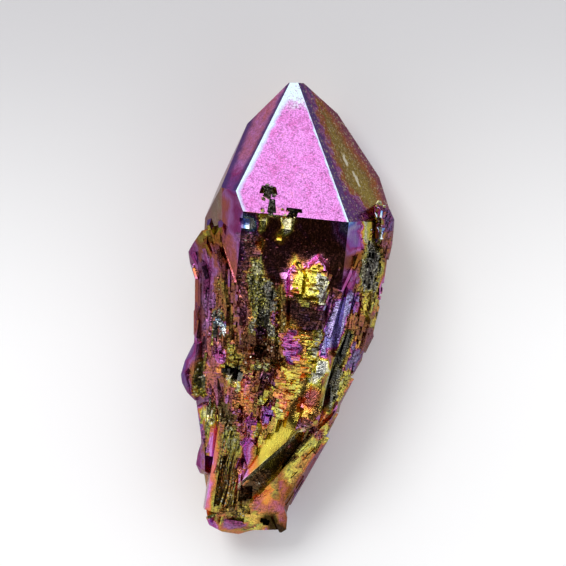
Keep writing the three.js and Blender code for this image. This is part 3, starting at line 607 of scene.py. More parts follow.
def growDetail(piece):
    column, grain, pit = modelColumn(), modelGrain(), modelPit()
    notch, crack = modelNotch(), modelCrack()
    pits = newGroup("pits")
    digPits(surfaceOf(piece), pits, pit)
    combine(piece, pits, "DIFFERENCE")
    surface, added = surfaceOf(piece), newGroup("added")
    addColumns(surface, added, column, "columns")
    addColumns(surface, added, column, "steps")
    addGrains(surface, added, grain)
    addFlanks(surface, added, column)
    combine(piece, added, "UNION")
    surface, cuts = surfaceOf(piece), newGroup("cuts")
    cutCracks(surface, cuts, crack)
    cutNotches(surface, cuts, notch)
    combine(piece, cuts, "DIFFERENCE")
    for model in (column, grain, pit, notch, crack):
        bpy.data.objects.remove(model)


def chanceAt(place):
    # three shares of chance that belong to a place (mm), whatever the order of the facets
    return noise.cell_vector(Vector(place) * growth["fineness"])


def divideBroadFacets(mesh, broad):
    # the film changes across a broad facet, so it is cut into cells that can carry it
    step = growth["cell"]
    for way, reach in zip((Vector((1, 0, 0)), Vector((0, 1, 0))), growth["cellReach"]):
        for i in range(int(2 * reach / step)):
            faces = [face for face in mesh.faces if face[broad]]
            parts = faces + list({edge for face in faces for edge in face.edges})
            parts += list({corner for face in faces for corner in face.verts})
            bmesh.ops.bisect_plane(mesh, geom=parts, dist=growth["cutNear"], plane_no=way,
                                   plane_co=way * (step * (i + 0.5) - reach) * mm)


def flattenFacets(piece):
    # coplanar triangles become one facet, and each facet gets its own share of chance
    mesh = bmesh.new()
    mesh.from_mesh(piece.data)
    bmesh.ops.dissolve_limit(mesh, angle_limit=math.radians(growth["flat"]), verts=mesh.verts,
                             edges=mesh.edges)
    broad = mesh.faces.layers.int.new("broad")
    facet = mesh.faces.layers.float.new("facet")
    for face in mesh.faces:
        face.smooth = False
        face[broad] = face.calc_area() > growth["broad"] * mm * mm
        face[facet] = chanceAt(face.calc_center_median() / mm).x
    divideBroadFacets(mesh, broad)
    mesh.to_mesh(piece.data)
    mesh.free()


crystal = crystalCopy()
growDetail(crystal)
flattenFacets(crystal)
print("crystal shaped", len(crystal.data.polygons))

# ---- thin-film colours

film = {
    "order": [   # the colours in the order that the film thickens
        (0.00, "steel", (0.34, 0.34, 0.31)),
        (0.07, "straw", (0.78, 0.72, 0.45)),
        (0.13, "lime", (0.58, 0.60, 0.13)),
        (0.19, "yellow", (0.84, 0.68, 0.09)),
        (0.26, "gold", (0.64, 0.40, 0.08)),
        (0.34, "orange", (0.84, 0.30, 0.06)),
        (0.42, "rose", (0.76, 0.20, 0.20)),
        (0.50, "pink", (0.79, 0.30, 0.79)),
        (0.58, "magenta", (0.52, 0.07, 0.30)),
        (0.66, "violet", (0.34, 0.14, 0.56)),
        (0.72, "lilac", (0.42, 0.36, 0.62)),
        (0.79, "blue", (0.10, 0.14, 0.50)),
        (0.84, "sky", (0.24, 0.50, 0.82)),
        (0.90, "ice", (0.82, 0.96, 0.98)),
        (1.02, "white", (0.92, 0.92, 0.86)),
    ],
    # patches: from, to (mm), half width, film, strength of reflection, etching; the strength also holds
    # painted light and shade, low where a spot is darkened as painted shade and above 1 where it is
    # brightened as painted light
    "patches": [
        # broad grounds
        ((-3.6, -4.6), (-3.2, -12.0), 3.0, "orange", 0.5, 0.5),
        ((1.0, -2.6), (0.6, -11.0), 2.0, "gold", 0.9, 0.35),
        ((-7.9, 5.0), (-7.9, -9.0), 1.7, "rose", 0.34, 0.3),
        ((7.6, 5.0), (6.0, -4.0), 1.6, "orange", 0.32, 0.5),
        # dark front prism face: it reflects the dark overhead, and its low strength adds painted shade
        ((-4.5, 7.9), (5.5, 7.1), 2.4, "rose", 0.16, 0.12),
        ((-4.2, 4.1), (5, 3.7), 2.2, "rose", 0.2, 0.2),
        ((-1.9, 12.1), (-1.5, 9.9), 0.7, "steel", 0.7, 1),
        ((-2.2, 9.4), (-2.6, 8.2), 0.55, "straw", 0.75, 0.3),
        # painted highlight: a white facet where a notch catches the window light
        ((-4.6, 8.7), (-3.9, 8.5), 0.9, "white", 1.2, 0.05),
        ((-0.3, 9.1), (0.1, 8.0), 0.65, "straw", 1.05, 0.3),
        ((0.3, 9.9), (0.9, 9.6), 0.45, "steel", 0.5, 0.8),
        ((-2.9, 6.6), (-2.9, 6.3), 0.5, "yellow", 1.1, 0),
        ((-0.8, 7.3), (-0.8, 7), 0.4, "yellow", 1.1, 0),
        # left prism strip and the faces beside it
        ((-7.5, 12.3), (-8.3, 8.7), 1.1, "orange", 0.16, 0),
        ((-8.4, 10.3), (-8.6, 8.5), 0.6, "rose", 0.30, 0),
        ((-5.6, 11.4), (-5, 1.7), 1.0, "magenta", 0.34, 0.05),
        ((-5.8, 6.9), (-4.8, 1.9), 0.6, "rose", 0.42, 0.1),
        ((-6.2, 10.9), (-6.3, 7.7), 0.5, "rose", 0.36, 0.05),
        ((-5.9, 12.0), (-5.1, 11.8), 0.25, "violet", 0.5, 0.05),
        # left shoulder
        ((-8.2, 6.8), (-7.3, 4.1), 1.6, "orange", 0.26, 0.12),
        ((-8.8, 6.9), (-6.8, 8.2), 0.35, "yellow", 0.32, 0.12),
        ((-9.7, 6.1), (-9.3, 3.9), 0.7, "magenta", 0.4, 0.1),
        ((-7.2, 5.9), (-6.2, 2.4), 0.6, "rose", 0.36, 0.15),
        ((-9.3, 3.4), (-9.1, -3.6), 0.8, "rose", 0.32, 0.05),
        ((-8, 4.7), (-8, 0.9), 0.6, "magenta", 0.42, 0.2),
        ((-8, 0.9), (-7.8, -2.6), 0.5, "pink", 0.48, 0.3),
        ((-7.8, -2.6), (-7.5, -9.1), 0.6, "rose", 0.6, 0.4),
        ((-6.8, 2.9), (-6.9, -0.6), 0.4, "orange", 0.36, 0.6),
        ((-6.9, -0.6), (-6.8, -2.6), 0.4, "steel", 0.45, 0.9),
        ((-6.2, 2.5), (-5.2, -1.3), 0.6, "gold", 0.5, 0.4),
        ((-5.5, 2.3), (-4.8, -2.1), 0.4, "rose", 0.35, 0.4),
        ((-6.8, -1.3), (-6.5, -1.9), 0.3, "ice", 0.7, 0.6),
        # trough
        ((-3.8, 7.1), (-3.5, 4.7), 0.8, "rose", 0.25, 0.5),
        ((-3.3, 4.4), (-2.6, -0.8), 0.95, "lime", 0.75, 1),
        ((-4.3, 4.6), (-4.3, -1.0), 0.45, "rose", 0.3, 0.5),
        ((-1.7, 2.2), (-1.7, 0.2), 0.45, "steel", 0.4, 0.8),
        ((-2.3, -0.6), (-1.6, -3.4), 0.75, "steel", 0.9, 1),
        ((-3.6, -1.8), (-3.3, -3.0), 0.5, "steel", 0.6, 1),
        ((-2.9, -2.2), (-2.5, -3.6), 0.55, "magenta", 0.2, 0.8),
        ((-0.6, 2.3), (-0.5, -5.1), 0.4, "gold", 0.65, 0.5),
        # paired heads
        ((2.5, 3.9), (2.4, 1.7), 1.05, "yellow", 1.2, 0.18),
        ((1.6, 4.1), (3, 5.2), 0.35, "pink", 1.25, 0.4),
        ((3, 5.2), (3.8, 4.2), 0.25, "pink", 1.2, 0.4),
        ((0.8, 4.7), (1.2, 1.9), 0.55, "yellow", 1.2, 0.18),
        ((0.2, 3.9), (0.3, 1.5), 0.42, "pink", 1.25, 0.5),
        ((3.3, 2.7), (3.6, 1.4), 0.75, "steel", 1.6, 1),
        # block, striated block and stairs
        ((0.8, 0.1), (3.5, -1.6), 1.2, "rose", 0.17, 0.35),
        ((1.4, 0.9), (1.6, 0.5), 0.3, "yellow", 0.8, 0.8),
        ((0.2, -2.8), (0.5, -4.3), 0.7, "magenta", 1.1, 0.3),
        ((0.1, -4.1), (0.2, -4.9), 0.4, "violet", 1.1, 0.3),
        ((1.6, -2.9), (1.9, -4.7), 0.7, "gold", 1.5, 0.24),
        ((2.3, -3.3), (2.3, -5.9), 0.5, "yellow", 1.4, 0.24),
        ((1.6, -5.1), (1.6, -6.3), 0.5, "orange", 1.35, 0.25),
        ((3.1, -2.3), (3, -4.3), 0.4, "steel", 0.9, 0.4),
        ((3.4, -5.5), (3.4, -5.9), 0.4, "straw", 1, 0.4),
        ((-0.5, -6.8), (1.2, -8.1), 0.8, "yellow", 1.15, 0.35),
        ((-0.7, -6.3), (-0.5, -7.1), 0.4, "orange", 1.1, 0.3),
        ((-0.7, -8.9), (0.8, -10.3), 0.8, "orange", 1.4, 0.28),
        ((1.6, -8.5), (1.9, -9.5), 0.6, "yellow", 1.1, 0.4),
        ((0.6, -10.7), (-0.1, -11.5), 0.6, "orange", 1.3, 0.3),
        # lower left of the front
        ((-3.9, -3.6), (-1.6, -4.3), 1.2, "orange", 0.2, 0.7),
        ((-5.5, -5.9), (-4.8, -6.7), 0.8, "steel", 0.14, 0.2),
        ((-6.7, -4.3), (-6.7, -5), 0.5, "magenta", 1.1, 0.3),
        ((-6.5, -5.7), (-6.5, -6.3), 0.4, "orange", 1.1, 0.4),
        ((-5.8, -4.1), (-5, -5.3), 0.6, "yellow", 0.7, 0.7),
        ((-3.6, -4.1), (-3.4, -4.7), 0.5, "orange", 0.5, 0.6),
        ((-3, -5.7), (-1.8, -5.5), 0.45, "straw", 0.8, 0.4),
        ((-2, -6.9), (-2.1, -9.3), 0.8, "rose", 0.26, 0.6),
        ((-1.4, -7.9), (-2.5, -9.3), 0.4, "lime", 0.8, 0.4),
        ((-4, -6.9), (-3.8, -9.1), 0.4, "rose", 0.9, 0.5),
        ((-4.5, -7.5), (-4.2, -9.9), 0.4, "orange", 1, 0.5),
        ((-5.5, -7.9), (-5.5, -9.5), 0.45, "rose", 0.6, 0.3),
        ((-5.2, -9.9), (-4.2, -10.3), 0.6, "orange", 0.95, 0.6),
        ((-5.5, -7.1), (-5, -7.7), 0.4, "straw", 1, 0.6),
        ((-6.2, -8.9), (-5.5, -11.1), 0.4, "violet", 0.6, 0.4),
        ((-4.8, -10.6), (-4.5, -12.1), 0.5, "rose", 0.6, 0.5),
        ((-3.6, -10.7), (-3.5, -12.3), 0.5, "magenta", 0.8, 0.5),
        ((-2.1, -10.1), (-2.2, -12.1), 0.5, "violet", 0.9, 0.2),
        ((-2.5, -11.5), (-2.5, -12.7), 0.4, "rose", 0.9, 0.3),
        ((-0.9, -9.3), (-1.1, -11.1), 0.35, "lime", 1.2, 0.3),
        ((-3, -11.6), (-3.1, -13.1), 0.4, "lime", 0.8, 0.6),
        ((-1.6, -12.1), (-2.2, -12.9), 0.6, "gold", 0.9, 0.5),
        # left lobes
        ((-9.6, -3.7), (-10.6, -6.1), 0.7, "violet", 0.5, 0),
        ((-10.6, -6.3), (-10.2, -8.1), 0.7, "violet", 0.42, 0),
        ((-10.2, -8.3), (-8.9, -9.3), 0.5, "magenta", 0.4, 0.1),
        ((-8.8, -5.9), (-8.8, -7.9), 0.7, "lime", 0.32, 1),
        ((-9.2, -7.9), (-8.4, -8.5), 0.4, "lime", 0.9, 0.8),
        ((-8, -10.3), (-7.8, -10.9), 0.7, "straw", 1, 0.15),
        ((-6.3, -9.3), (-5.8, -11.5), 0.6, "gold", 0.16, 0.4),
        ((-7.8, -12.3), (-7.5, -13.3), 0.7, "lime", 0.5, 0.35),
        ((-7.7, -14.1), (-7.3, -15.3), 0.5, "yellow", 0.75, 0.5),
        ((-8.9, -13.7), (-8.9, -16.1), 0.5, "magenta", 0.5, 0.1),
        ((-5.8, -12.3), (-5.2, -13.9), 0.7, "lime", 0.55, 0.8),
        ((-3.8, -13.5), (-3.9, -15.3), 0.7, "violet", 0.9, 0.05),
        ((-4, -15.5), (-4.8, -17.5), 0.35, "magenta", 1, 0.2),
        ((-7.2, -11.9), (-7.4, -15.6), 0.45, "rose", 0.85, 0.05),
        ((-7.6, -12.6), (-7.8, -15.9), 0.3, "pink", 0.8, 0.05),
        ((-7.5, -16.1), (-8.2, -20.3), 0.55, "rose", 0.95, 0.05),
        ((-7.8, -17.5), (-8.2, -19.8), 0.25, "pink", 0.8, 0.05),
        ((-6, -15.3), (-5.8, -19.1), 1, "gold", 0.65, 1),
        ((-6.5, -19.1), (-4.3, -20.3), 0.8, "gold", 0.75, 1),
        # lip above the groove
        ((5.3, 0.5), (4, -3.3), 0.7, "lilac", 1.25, 0.12),
        ((6.5, 1.3), (6.2, -0.3), 0.6, "violet", 0.7, 0.2),
        ((4, -3.3), (3.5, -5.7), 0.5, "lilac", 1.2, 0.12),
        ((3.4, -5.3), (2.4, -8.2), 0.75, "steel", 1.6, 0.12),
        ((2.5, -8.5), (1.5, -10.4), 0.95, "rose", 0.62, 0.05),
        ((1.7, -9.8), (0.6, -11.0), 0.5, "orange", 0.75, 0.05),
        ((1.2, -10.9), (-2.5, -14.3), 1, "yellow", 0.95, 0),
        ((-1.6, -14.9), (-3.1, -15.9), 0.6, "yellow", 0.9, 0),
        ((-3.4, -15.5), (-4.8, -17.7), 0.5, "orange", 1, 0),
        ((-4.2, -16.5), (-5, -17.9), 0.3, "pink", 0.9, 0.1),
        # band outside the groove, and the outer right side
        ((6.2, 1.3), (4.8, -3.5), 0.45, "lilac", 1.0, 0.12),
        ((6.5, -0.3), (5.8, -3.1), 0.4, "orange", 0.55, 0.6),
        ((6.5, -3.3), (5.5, -5.7), 0.5, "orange", 0.85, 0.6),
        ((5.7, -6.3), (4.8, -8.9), 0.6, "yellow", 0.8, 0.5),
        ((4.7, -9.5), (4.2, -10.7), 0.4, "lilac", 0.8, 0.2),
        ((4, -10.3), (3.2, -12.1), 0.5, "orange", 1, 0.3),
        ((3, -12.7), (0.8, -16.3), 1.2, "lime", 0.85, 0.3),
        ((2.5, -14.3), (0.2, -17.3), 0.6, "gold", 0.7, 0.3),
        ((3.6, -13.7), (1.1, -17.7), 0.4, "rose", 0.45, 0.1),
        ((1.1, -16.1), (0.1, -16.9), 0.4, "yellow", 0.9, 0.3),
        ((7.8, 2.5), (7.7, -0.3), 0.5, "yellow", 1, 0.6),
        ((8.1, -2.1), (7.8, -4.1), 0.7, "rose", 0.25, 0.4),
        ((6.8, -4.5), (6.5, -5.9), 0.7, "lilac", 0.5, 0.4),
        ((8.4, 6.6), (8.1, 2.7), 0.8, "steel", 0.45, 1),
        ((10.2, 4.7), (9.2, 0.9), 0.4, "pink", 0.6, 0.1),
        ((10.1, 9.9), (10.1, 7.7), 0.7, "violet", 0.34, 0.3),
        ((10.1, 7.3), (10.1, 5.3), 0.7, "rose", 0.32, 0.3),
        # painted highlights: two small white glints
        ((9.1, 10.3), (9.1, 9.5), 0.3, "ice", 1.2, 0.3),
        ((9.1, 8.3), (9.1, 6.9), 0.3, "ice", 1, 0.6),
        ((6.1, 9.4), (6.2, 8.0), 1.2, "sky", 0.9, 0),
        ((6.6, 7.6), (6.8, 6.2), 0.8, "violet", 0.62, 0),
        ((7.2, 5.3), (6.3, 4.3), 0.6, "orange", 0.28, 0),
        ((6.2, 3.3), (5.8, 2.1), 0.6, "magenta", 0.5, 0),
        ((7.9, 9.8), (7.9, 7.3), 0.6, "steel", 0.7, 0.2),
        ((8.6, 9.4), (8.5, 7.0), 0.35, "gold", 0.4, 0.05),
        # floors of the groove; the first two are darkened by a low strength as painted shade
        ((-4.6, -18.7), (-0.3, -15.1), 0.7, "gold", 0.22, 0),
        ((0.1, -14.6), (1.6, -12.7), 0.5, "gold", 0.2, 0.3),
        ((1.8, -11.5), (3, -12.5), 0.6, "rose", 0.5, 0.8),
        ((4, -9.6), (4.7, -6.3), 0.65, "steel", 0.6, 0.05),
        ((5, -5.3), (6, -2.7), 0.5, "steel", 0.5, 0.05),
        # foot
        ((-2.6, -19.2), (-1.4, -20.0), 1.0, "rose", 0.60, 0.12),
        ((-1.9, -17.9), (-2.1, -18.9), 0.55, "orange", 0.95, 0.05),
        ((-1.8, -19.9), (-1.2, -20.6), 0.4, "rose", 0.6, 0.12),
        ((-3.0, -20.1), (-1.1, -20.9), 0.4, "rose", 0.6, 0.3),
        ((-0.6, -17.3), (-0.1, -21.9), 0.5, "rose", 0.5, 0.1),
        ((0.2, -17.9), (0.1, -20.9), 0.4, "orange", 0.3, 0.1),
        ((-3.8, -21.1), (-2.4, -21.1), 0.45, "gold", 1, 0.2),
        ((-5, -21.1), (-4.2, -21.5), 0.4, "lime", 0.6, 0.3),
        ((-7.8, -21.3), (-7, -22.1), 0.5, "violet", 0.75, 0.1),
        ((-6.5, -22.1), (-4.5, -22.6), 0.4, "orange", 0.75, 0.1),
        ((-6, -21.3), (-4.8, -21.7), 0.4, "magenta", 0.5, 0.4),
        # painted shade: the lower end of the groove and the hollow in the foot are darkened
        ((-4.4, -18.4), (-2.2, -16.7), 0.75, "orange", 0.12, 0.6),
        ((-2.1, -21.1), (-0.6, -22.3), 0.7, "gold", 0.05, 0.12),
    ],
    # spots rounded towards the point, which catch the light of the far side: from, to (mm), half width,
    # and how far they are rounded
    "rounded": [
        ((2.5, 3.9), (2.4, 1.8), 1.5, 0.8),   # paired heads
        ((0.8, 4.6), (0.9, 1.9), 0.9, 0.8),
        ((1.8, -2.9), (1.9, -4.7), 0.7, 0.7),   # striated block
        ((5.7, 0.9), (4.4, -3.3), 1.0, 0.78),   # violet ridge and the bevel below it
        ((4.0, -3.3), (3.5, -5.7), 0.6, 0.76),
        ((3.4, -5.3), (2.4, -8.2), 0.9, 0.74),
        ((2.5, -8.7), (1.3, -10.6), 1.1, 0.72),   # head of the lip
        ((4.0, -9.6), (4.7, -6.3), 0.7, 0.66),   # floor of the upper groove
        ((5.0, -5.3), (6.0, -2.7), 0.7, 0.66),
    ],
    # mixes: each pair or four is where a mix starts and ends, then what it goes from and to
    "clouds": {"broad": (0.16, 3), "fine": (1.1, 3), "grain": (7.5, 1)},   # cells in a mm, levels of detail
    # the second size and its range below lay painted shade as thin dark cracks across the steps
    "streak": (0.16, 1.1, 0.16), "rung": (0.7, 0.14, 0.4), "rungs": (0.58, 0.66),   # mm
    "cells": 6.2,   # in a mm
    "grain": {"cloud": (0.36, 0.64, -0.30, 0.20), "dark": (0.3, 0.0, 0, -0.34), "bright": (0.8, 1.0, 0, 0.3)},
    # where no patch is laid: thickness and what changes it, its limits, strength and etching
    "wild": {"thickness": 0.42, "broad": 1.5, "fine": 0.35, "facet": 0.16, "limits": (0.08, 0.70),
             "strength": 0.62, "etching": 0.45, "upward": (-0.35, 0.1)},
    # how patches are laid: the width of their margins, and how their outlines are warped
    "margins": {"etched": 0.6, "plain": 1.1, "smooth": 1.7}, "etchedFrom": 0.1,
    "warp": {"scale": 0.9, "aside": (31.7, 0, 0), "etched": 0.55, "plain": 0.2, "rounded": 1.0},
    "slant": 0.06, "slantSpread": 3.4, "slantMiddle": (1.7, 2.7, 1.7),
    # shade on top of the strength: streaks and grain, and painted shade in thin cracks and in darkened
    # glitter cells
    "shade": {"streak": 0.5, "grain": (0.02, 0.14), "etched": (0.1, 0.3), "rung": 0.8,
              "needle": 0.85, "needleSpeck": (0.56, 0.44), "needleEtching": (0.7, 0.95)},
    "change": {"broad": 0.10, "fine": 0.10, "streak": 0.06, "facet": 0.04, "etchedFacet": 0.06},
    # large faces of the point: lines from one corner to another, seen from above
    "point": {
        "from": (7.6, 8.4), "turn": (0.97, 0.99), "raggedness": 0.5,
        "leftEdge": ((-5.15, 11.7), (0.15, 22.3)), "rightEdge": ((6.05, 8.6), (1.25, 22.6)),
        "lowEdge": ((-4.75, 10.1), (-5.15, 11.7)), "base": ((-4.75, 10.1), (6.05, 8.6)),
        "outerLeft": ((-6.6, 12.2), (-4.05, 18.5)),
        "outerRight": (((4.8, 19.9), (9.2, 13.2)), ((9.2, 13.2), (10.2, 10.0))),
        "front": {"strength": 0.70, "etching": 0.04, "base": (0.45, 0.2)},
        "left": {"wobble": 3, "low": (15.5, 12.5), "thickness": 0.45, "thicker": 0.18,
                 "strength": 0.76, "weaker": 0.16, "etching": 0.1},
        "right": {"wobble": 1.6, "foot": (13.0, 8.8), "footBy": 2.0, "inward": (2.0, 0.1), "thicker": 0.04,
                  "inner": 0.42, "outer": (1.5, 0.2, 0, 0.20), "strength": 0.40, "etching": 0.12},
    },
    # tints: colour and share; the pale rim, the lip line, the glints, the sparkles and the bright streaks are
    # painted highlights, the rim partly thicker film as well
    "tints": {
        "needles": ((0.44, 0.37, 0.32), 0.07),   # too fine to see singly
        "seam": ((0.085, 0.05, 0.19), 0.92), "outside": ((0.16, 0.05, 0.08), 0.7),
        "paintedSparkles": ((0.62, 0.55, 0.32), 0.6), "inside": ((0.42, 0.40, 0.60), 1.0),
        "rim": ((0.50, 0.68, 0.73), 1.0), "lip": ((0.75, 0.72, 0.42), 0.6),
        "glint": ((0.85, 0.85, 0.70), 0.6), "glintLineTint": ((0.85, 0.82, 0.62), 0.85),
    },
    "edges": {
        "rightSeam": (0.8, 0.05), "leftSeam": (0.8, 0.2), "leftInner": 1.6, "outside": (0.55, 0.1),
        "specks": (0.86, 0.94), "inside": (0.65, 0.3), "rightInner": 2.2, "rim": (0.36, 0.1), "glow": 0.9,
        "apex": (19.4, 21.6), "apexWobble": (3, 2),
    },
    # painted highlight: a pale line along the edge of the lip
    "lip": {"line": ((3.05, -10.9), (-4.95, -17.9)), "off": 0.12, "width": (0.25, 0.1),
            "upper": (-11.4, -12.4), "lower": (-18.3, -17.6), "level": (0.4, 0.7)},
    # glitter: little cells that tilt the surface where it is etched; a few are also tinted pale as painted
    # glints
    "glitter": {"share": (1.00, 1.03), "etched": 0.08, "middle": (0.45, 0.62, 0.5), "tilt": 0.9,
                "most": 0.6, "glint": (-0.25, -0.55, 0)},
    # painted highlights, bright streaks on the right face of the point: from, to (mm), half width, and how
    # they end
    "paintedGlintLines": [((5.6, 15.6), (6.0, 14.2)), ((6.5, 13.9), (7.3, 12.1))],
    "glintLineWidth": (0.16, 0.07), "glintLineEnd": 0.3,
    "roundedTo": (0.0, 0.36, 0.93), "roundedLevel": (0.80, 0.90),
    "bump": {"Strength": 0.25, "Distance": 0.05 * mm}, "rough": (0.16, 0.16),
    "steep": (0.62, 0.56, 0.60),   # keeps steep faces from going white
}
thick = {name: place for place, name, _ in film["order"]}


def inside(spots, start, end, half, soft):
    # 1 near the line from start to end, easing to 0 across its margin
    start, run = np.array(start), np.array(end) - np.array(start)
    away = spots - start
    share = np.clip(away @ run / max(run @ run, 1e-6), 0, 1)
    distance = np.linalg.norm(away - share[:, None] * run, axis=1)
    near = np.clip((half * (1 + soft / 2) - distance) / (half * soft), 0, 1)
    return near * near * (3 - 2 * near)


def cornersOf(mesh):
    # the place (mm) of each corner of each facet
    places = np.zeros(len(mesh.vertices) * 3)
    mesh.vertices.foreach_get("co", places)
    vertexOf = np.zeros(len(mesh.loops), int)
    mesh.loops.foreach_get("vertex_index", vertexOf)
    return (places.reshape(-1, 3) / mm)[vertexOf]


def hold(mesh, name, values):
    kind, key = ("FLOAT_VECTOR", "vector") if values.ndim > 1 else ("FLOAT", "value")
    mesh.attributes.new(name, kind, "CORNER").data.foreach_set(key, values.ravel())


def layPatches(piece):
    # thickness, strength and etching of the patches, and their share over the wild film
    mesh = piece.data
    corners = cornersOf(mesh)
    spots = corners.copy()   # a small facet reads its film at its middle
    slant = np.zeros(len(corners))   # and its film thickens from one side of it to the other
    broad = mesh.attributes["broad"].data
    for polygon in mesh.polygons:
        if not broad[polygon.index].value:
            held = slice(polygon.loop_start, polygon.loop_start + polygon.loop_total)
            spots[held] = polygon.center / mm
            lean = film["slantSpread"] * np.array(chanceAt(spots[polygon.loop_start])) - film["slantMiddle"]
            way = (corners[held] - spots[held]) @ lean
            slant[held] = film["slant"] * way / max(np.abs(way).max(), 1e-9)
    warp, margins = film["warp"], film["margins"]
    aside = Vector(warp["aside"])
    moved = np.array([(noise.noise(spot), noise.noise(spot + aside))
                      for spot in map(Vector, spots * warp["scale"])])
    ragged, even = (spots[:, :2] + warp[key] * moved for key in ("etched", "plain"))
    values = np.zeros((len(corners), 3))
    laid = np.zeros(len(corners))
    for start, end, half, name, strength, etching in film["patches"]:
        etched = etching > film["etchedFrom"]
        soft = margins["etched" if etched else "plain" if etching > 0 else "smooth"]
        share = inside(ragged if etched else even, start, end, half, soft)
        values += (np.array((thick[name], strength, etching)) - values) * share[:, None]
        laid += (1 - laid) * share
    rounded = np.zeros(len(corners))
    for start, end, half, amount in film["rounded"]:
        rounded = np.maximum(rounded, amount * inside(even, start, end, half, warp["rounded"]))
    hold(mesh, "rounded", rounded)
    hold(mesh, "patch", values)
    hold(mesh, "laid", laid)
    hold(mesh, "slant", slant)


def joined(tree, thickness, strength, etching):
    # the three values of a film travel together as one vector
    return addNode(tree, "ShaderNodeCombineXYZ", None, {0: thickness, 1: strength, 2: etching})


def cloud(place, scale=1, detail=2):
    return addNode(place.tree, "ShaderNodeTexNoise", None,
                   {"Vector": place, "Scale": scale, "Detail": detail})


def stretched(place, size):
    # the place counted in cells of this size (mm) that lie along the crystal
    return addNode(place.tree, "ShaderNodeMapping", {"vector_type": "TEXTURE"},
                   {0: place, 2: (0, 0, -math.radians(lie["lean"])), 3: size})


def fromEdge(at, start, end):
    # mm to the right of a line seen from above, with a ragged margin
    run = (Vector((*end, 0)) - Vector((*start, 0))).normalized()
    side = Vector((run.y, -run.x, 0))
    return at.place.along(side) - side.dot(Vector((*start, 0))) + film["point"]["raggedness"] * at.fine


def readSurface(tree):
    # what the film goes by at a spot: its place in mm, the way it faces, what it holds, and clouds
    at = SimpleNamespace(tree=tree)
    at.place = addNode(tree, "ShaderNodeTexCoord", output=3).vector("SCALE", 1 / mm)
    at.y = at.place.part(1)
    at.normal = addNode(tree, "ShaderNodeNewGeometry", output=1)
    at.up = at.normal.along((0, 0, 1))
    at.facet, at.laid, at.slant, at.rounded = (
        addNode(tree, "ShaderNodeAttribute", {"attribute_name": name}, output=2)
        for name in ("facet", "laid", "slant", "rounded"))
    at.patch = addNode(tree, "ShaderNodeAttribute", {"attribute_name": "patch"}, output=1)
    at.broad, at.fine = (cloud(at.place, *film["clouds"][key]) - 0.5 for key in ("broad", "fine"))
    at.streak = cloud(stretched(at.place, film["streak"])) - 0.5
    # painted shade: thin dark cracks across the steps
    at.rung = cloud(stretched(at.place, film["rung"])).ramp(*film["rungs"])
    at.cells = addNode(tree, "ShaderNodeTexVoronoi", None, {"Vector": at.place, "Scale": film["cells"]}, 1)
    at.speck = at.cells.part(0)
    grain = film["grain"]
    at.grain = cloud(at.place, *film["clouds"]["grain"]).ramp(*grain["cloud"])
    at.grain = at.grain + at.speck.ramp(*grain["dark"]) + at.speck.ramp(*grain["bright"])
    point = film["point"]
    at.leftEdge, at.rightEdge, at.lowEdge, at.base, at.outerLeft = (
        fromEdge(at, *point[name]) for name in ("leftEdge", "rightEdge", "lowEdge", "base", "outerLeft"))
    upper, lower = (fromEdge(at, *line) for line in point["outerRight"])
    at.outerRight = upper.lesser(lower)
    return at


def laidFilm(at):
    # patches over the wild film
    wild = film["wild"]
    least, most = wild["limits"]
    thickness = wild["thickness"] + wild["broad"] * at.broad + wild["fine"] * at.fine
    thickness = (thickness + wild["facet"] * (at.facet - 0.5)).lesser(most).greater(least)
    seldomSeen = joined(at.tree, thickness, wild["strength"], wild["etching"])
    return seldomSeen.vectorToward(at.patch, at.laid * at.up.ramp(*wild["upward"]))


def pointFilm(at, laid):
    # the large faces of the point over what is laid; their film thickens towards their edges
    point = film["point"]
    onPoint = at.y.ramp(*point["from"])

    def overFace(under, sixths, within, thickness, strength, etching):
        # the film with one face laid over it, and how much a spot belongs to that face
        share = at.normal.along(tipFace(sixths)).ramp(*point["turn"]) * within
        return under.vectorToward(joined(at.tree, thickness, strength, etching), share), share

    right, left, front = point["right"], point["left"], point["front"]
    inward = at.rightEdge + right["wobble"] * at.fine - right["footBy"] * at.y.ramp(*right["foot"])
    inward = inward.ramp(*right["inward"])
    rainbow = thick["yellow"] + right["thicker"] + right["inner"] * inward * inward
    rainbow = rainbow + (at.outerRight + at.fine).ramp(*right["outer"])
    laid, at.onRight = overFace(laid, 1, onPoint, rainbow, right["strength"], right["etching"])
    low = (at.y + left["wobble"] * at.fine).ramp(*left["low"])
    laid, at.onLeft = overFace(laid, -1, onPoint, left["thickness"] + left["thicker"] * low,
                               left["strength"] - left["weaker"] * low, left["etching"])
    laid, at.onFront = overFace(laid, 0, at.base.ramp(*front["base"]), thick["pink"],
                                front["strength"], front["etching"])
    return laid


def tinted(colour, name, mask):
    tint, share = film["tints"][name]
    return colour.colourToward((*tint, 1), share * mask)


def filmColour(at, thickness, strength, etching):
    change, shade = film["change"], film["shade"]
    thickness = thickness + change["broad"] * at.broad + change["fine"] * at.fine
    thickness = thickness + change["streak"] * at.streak + at.slant
    thickness = thickness + (change["facet"] + change["etchedFacet"] * etching) * (at.facet - 0.5)
    stops = [(place, colour) for place, _, colour in film["order"]]
    colour = addNode(at.tree, "ShaderNodeValToRGB", {"stops": stops}, {0: thickness})
    grainy = at.onFront.greater(etching.ramp(*shade["grain"]))
    # painted shade: where it is most etched about half of the little cells are darkened, and the thin cracks
    # are darkened wherever it is etched
    needle = at.speck.ramp(*shade["needleSpeck"]) * etching.ramp(*shade["needleEtching"])
    light = strength * (1 + shade["streak"] * at.streak) * (1 + at.grain * grainy)
    light = light * (1 - shade["rung"] * at.rung * at.etched) * (1 - shade["needle"] * needle)
    colour = colour.colourToward(joined(at.tree, light, light, light), 1.0, "MULTIPLY")
    return tinted(colour, "needles", at.etched)


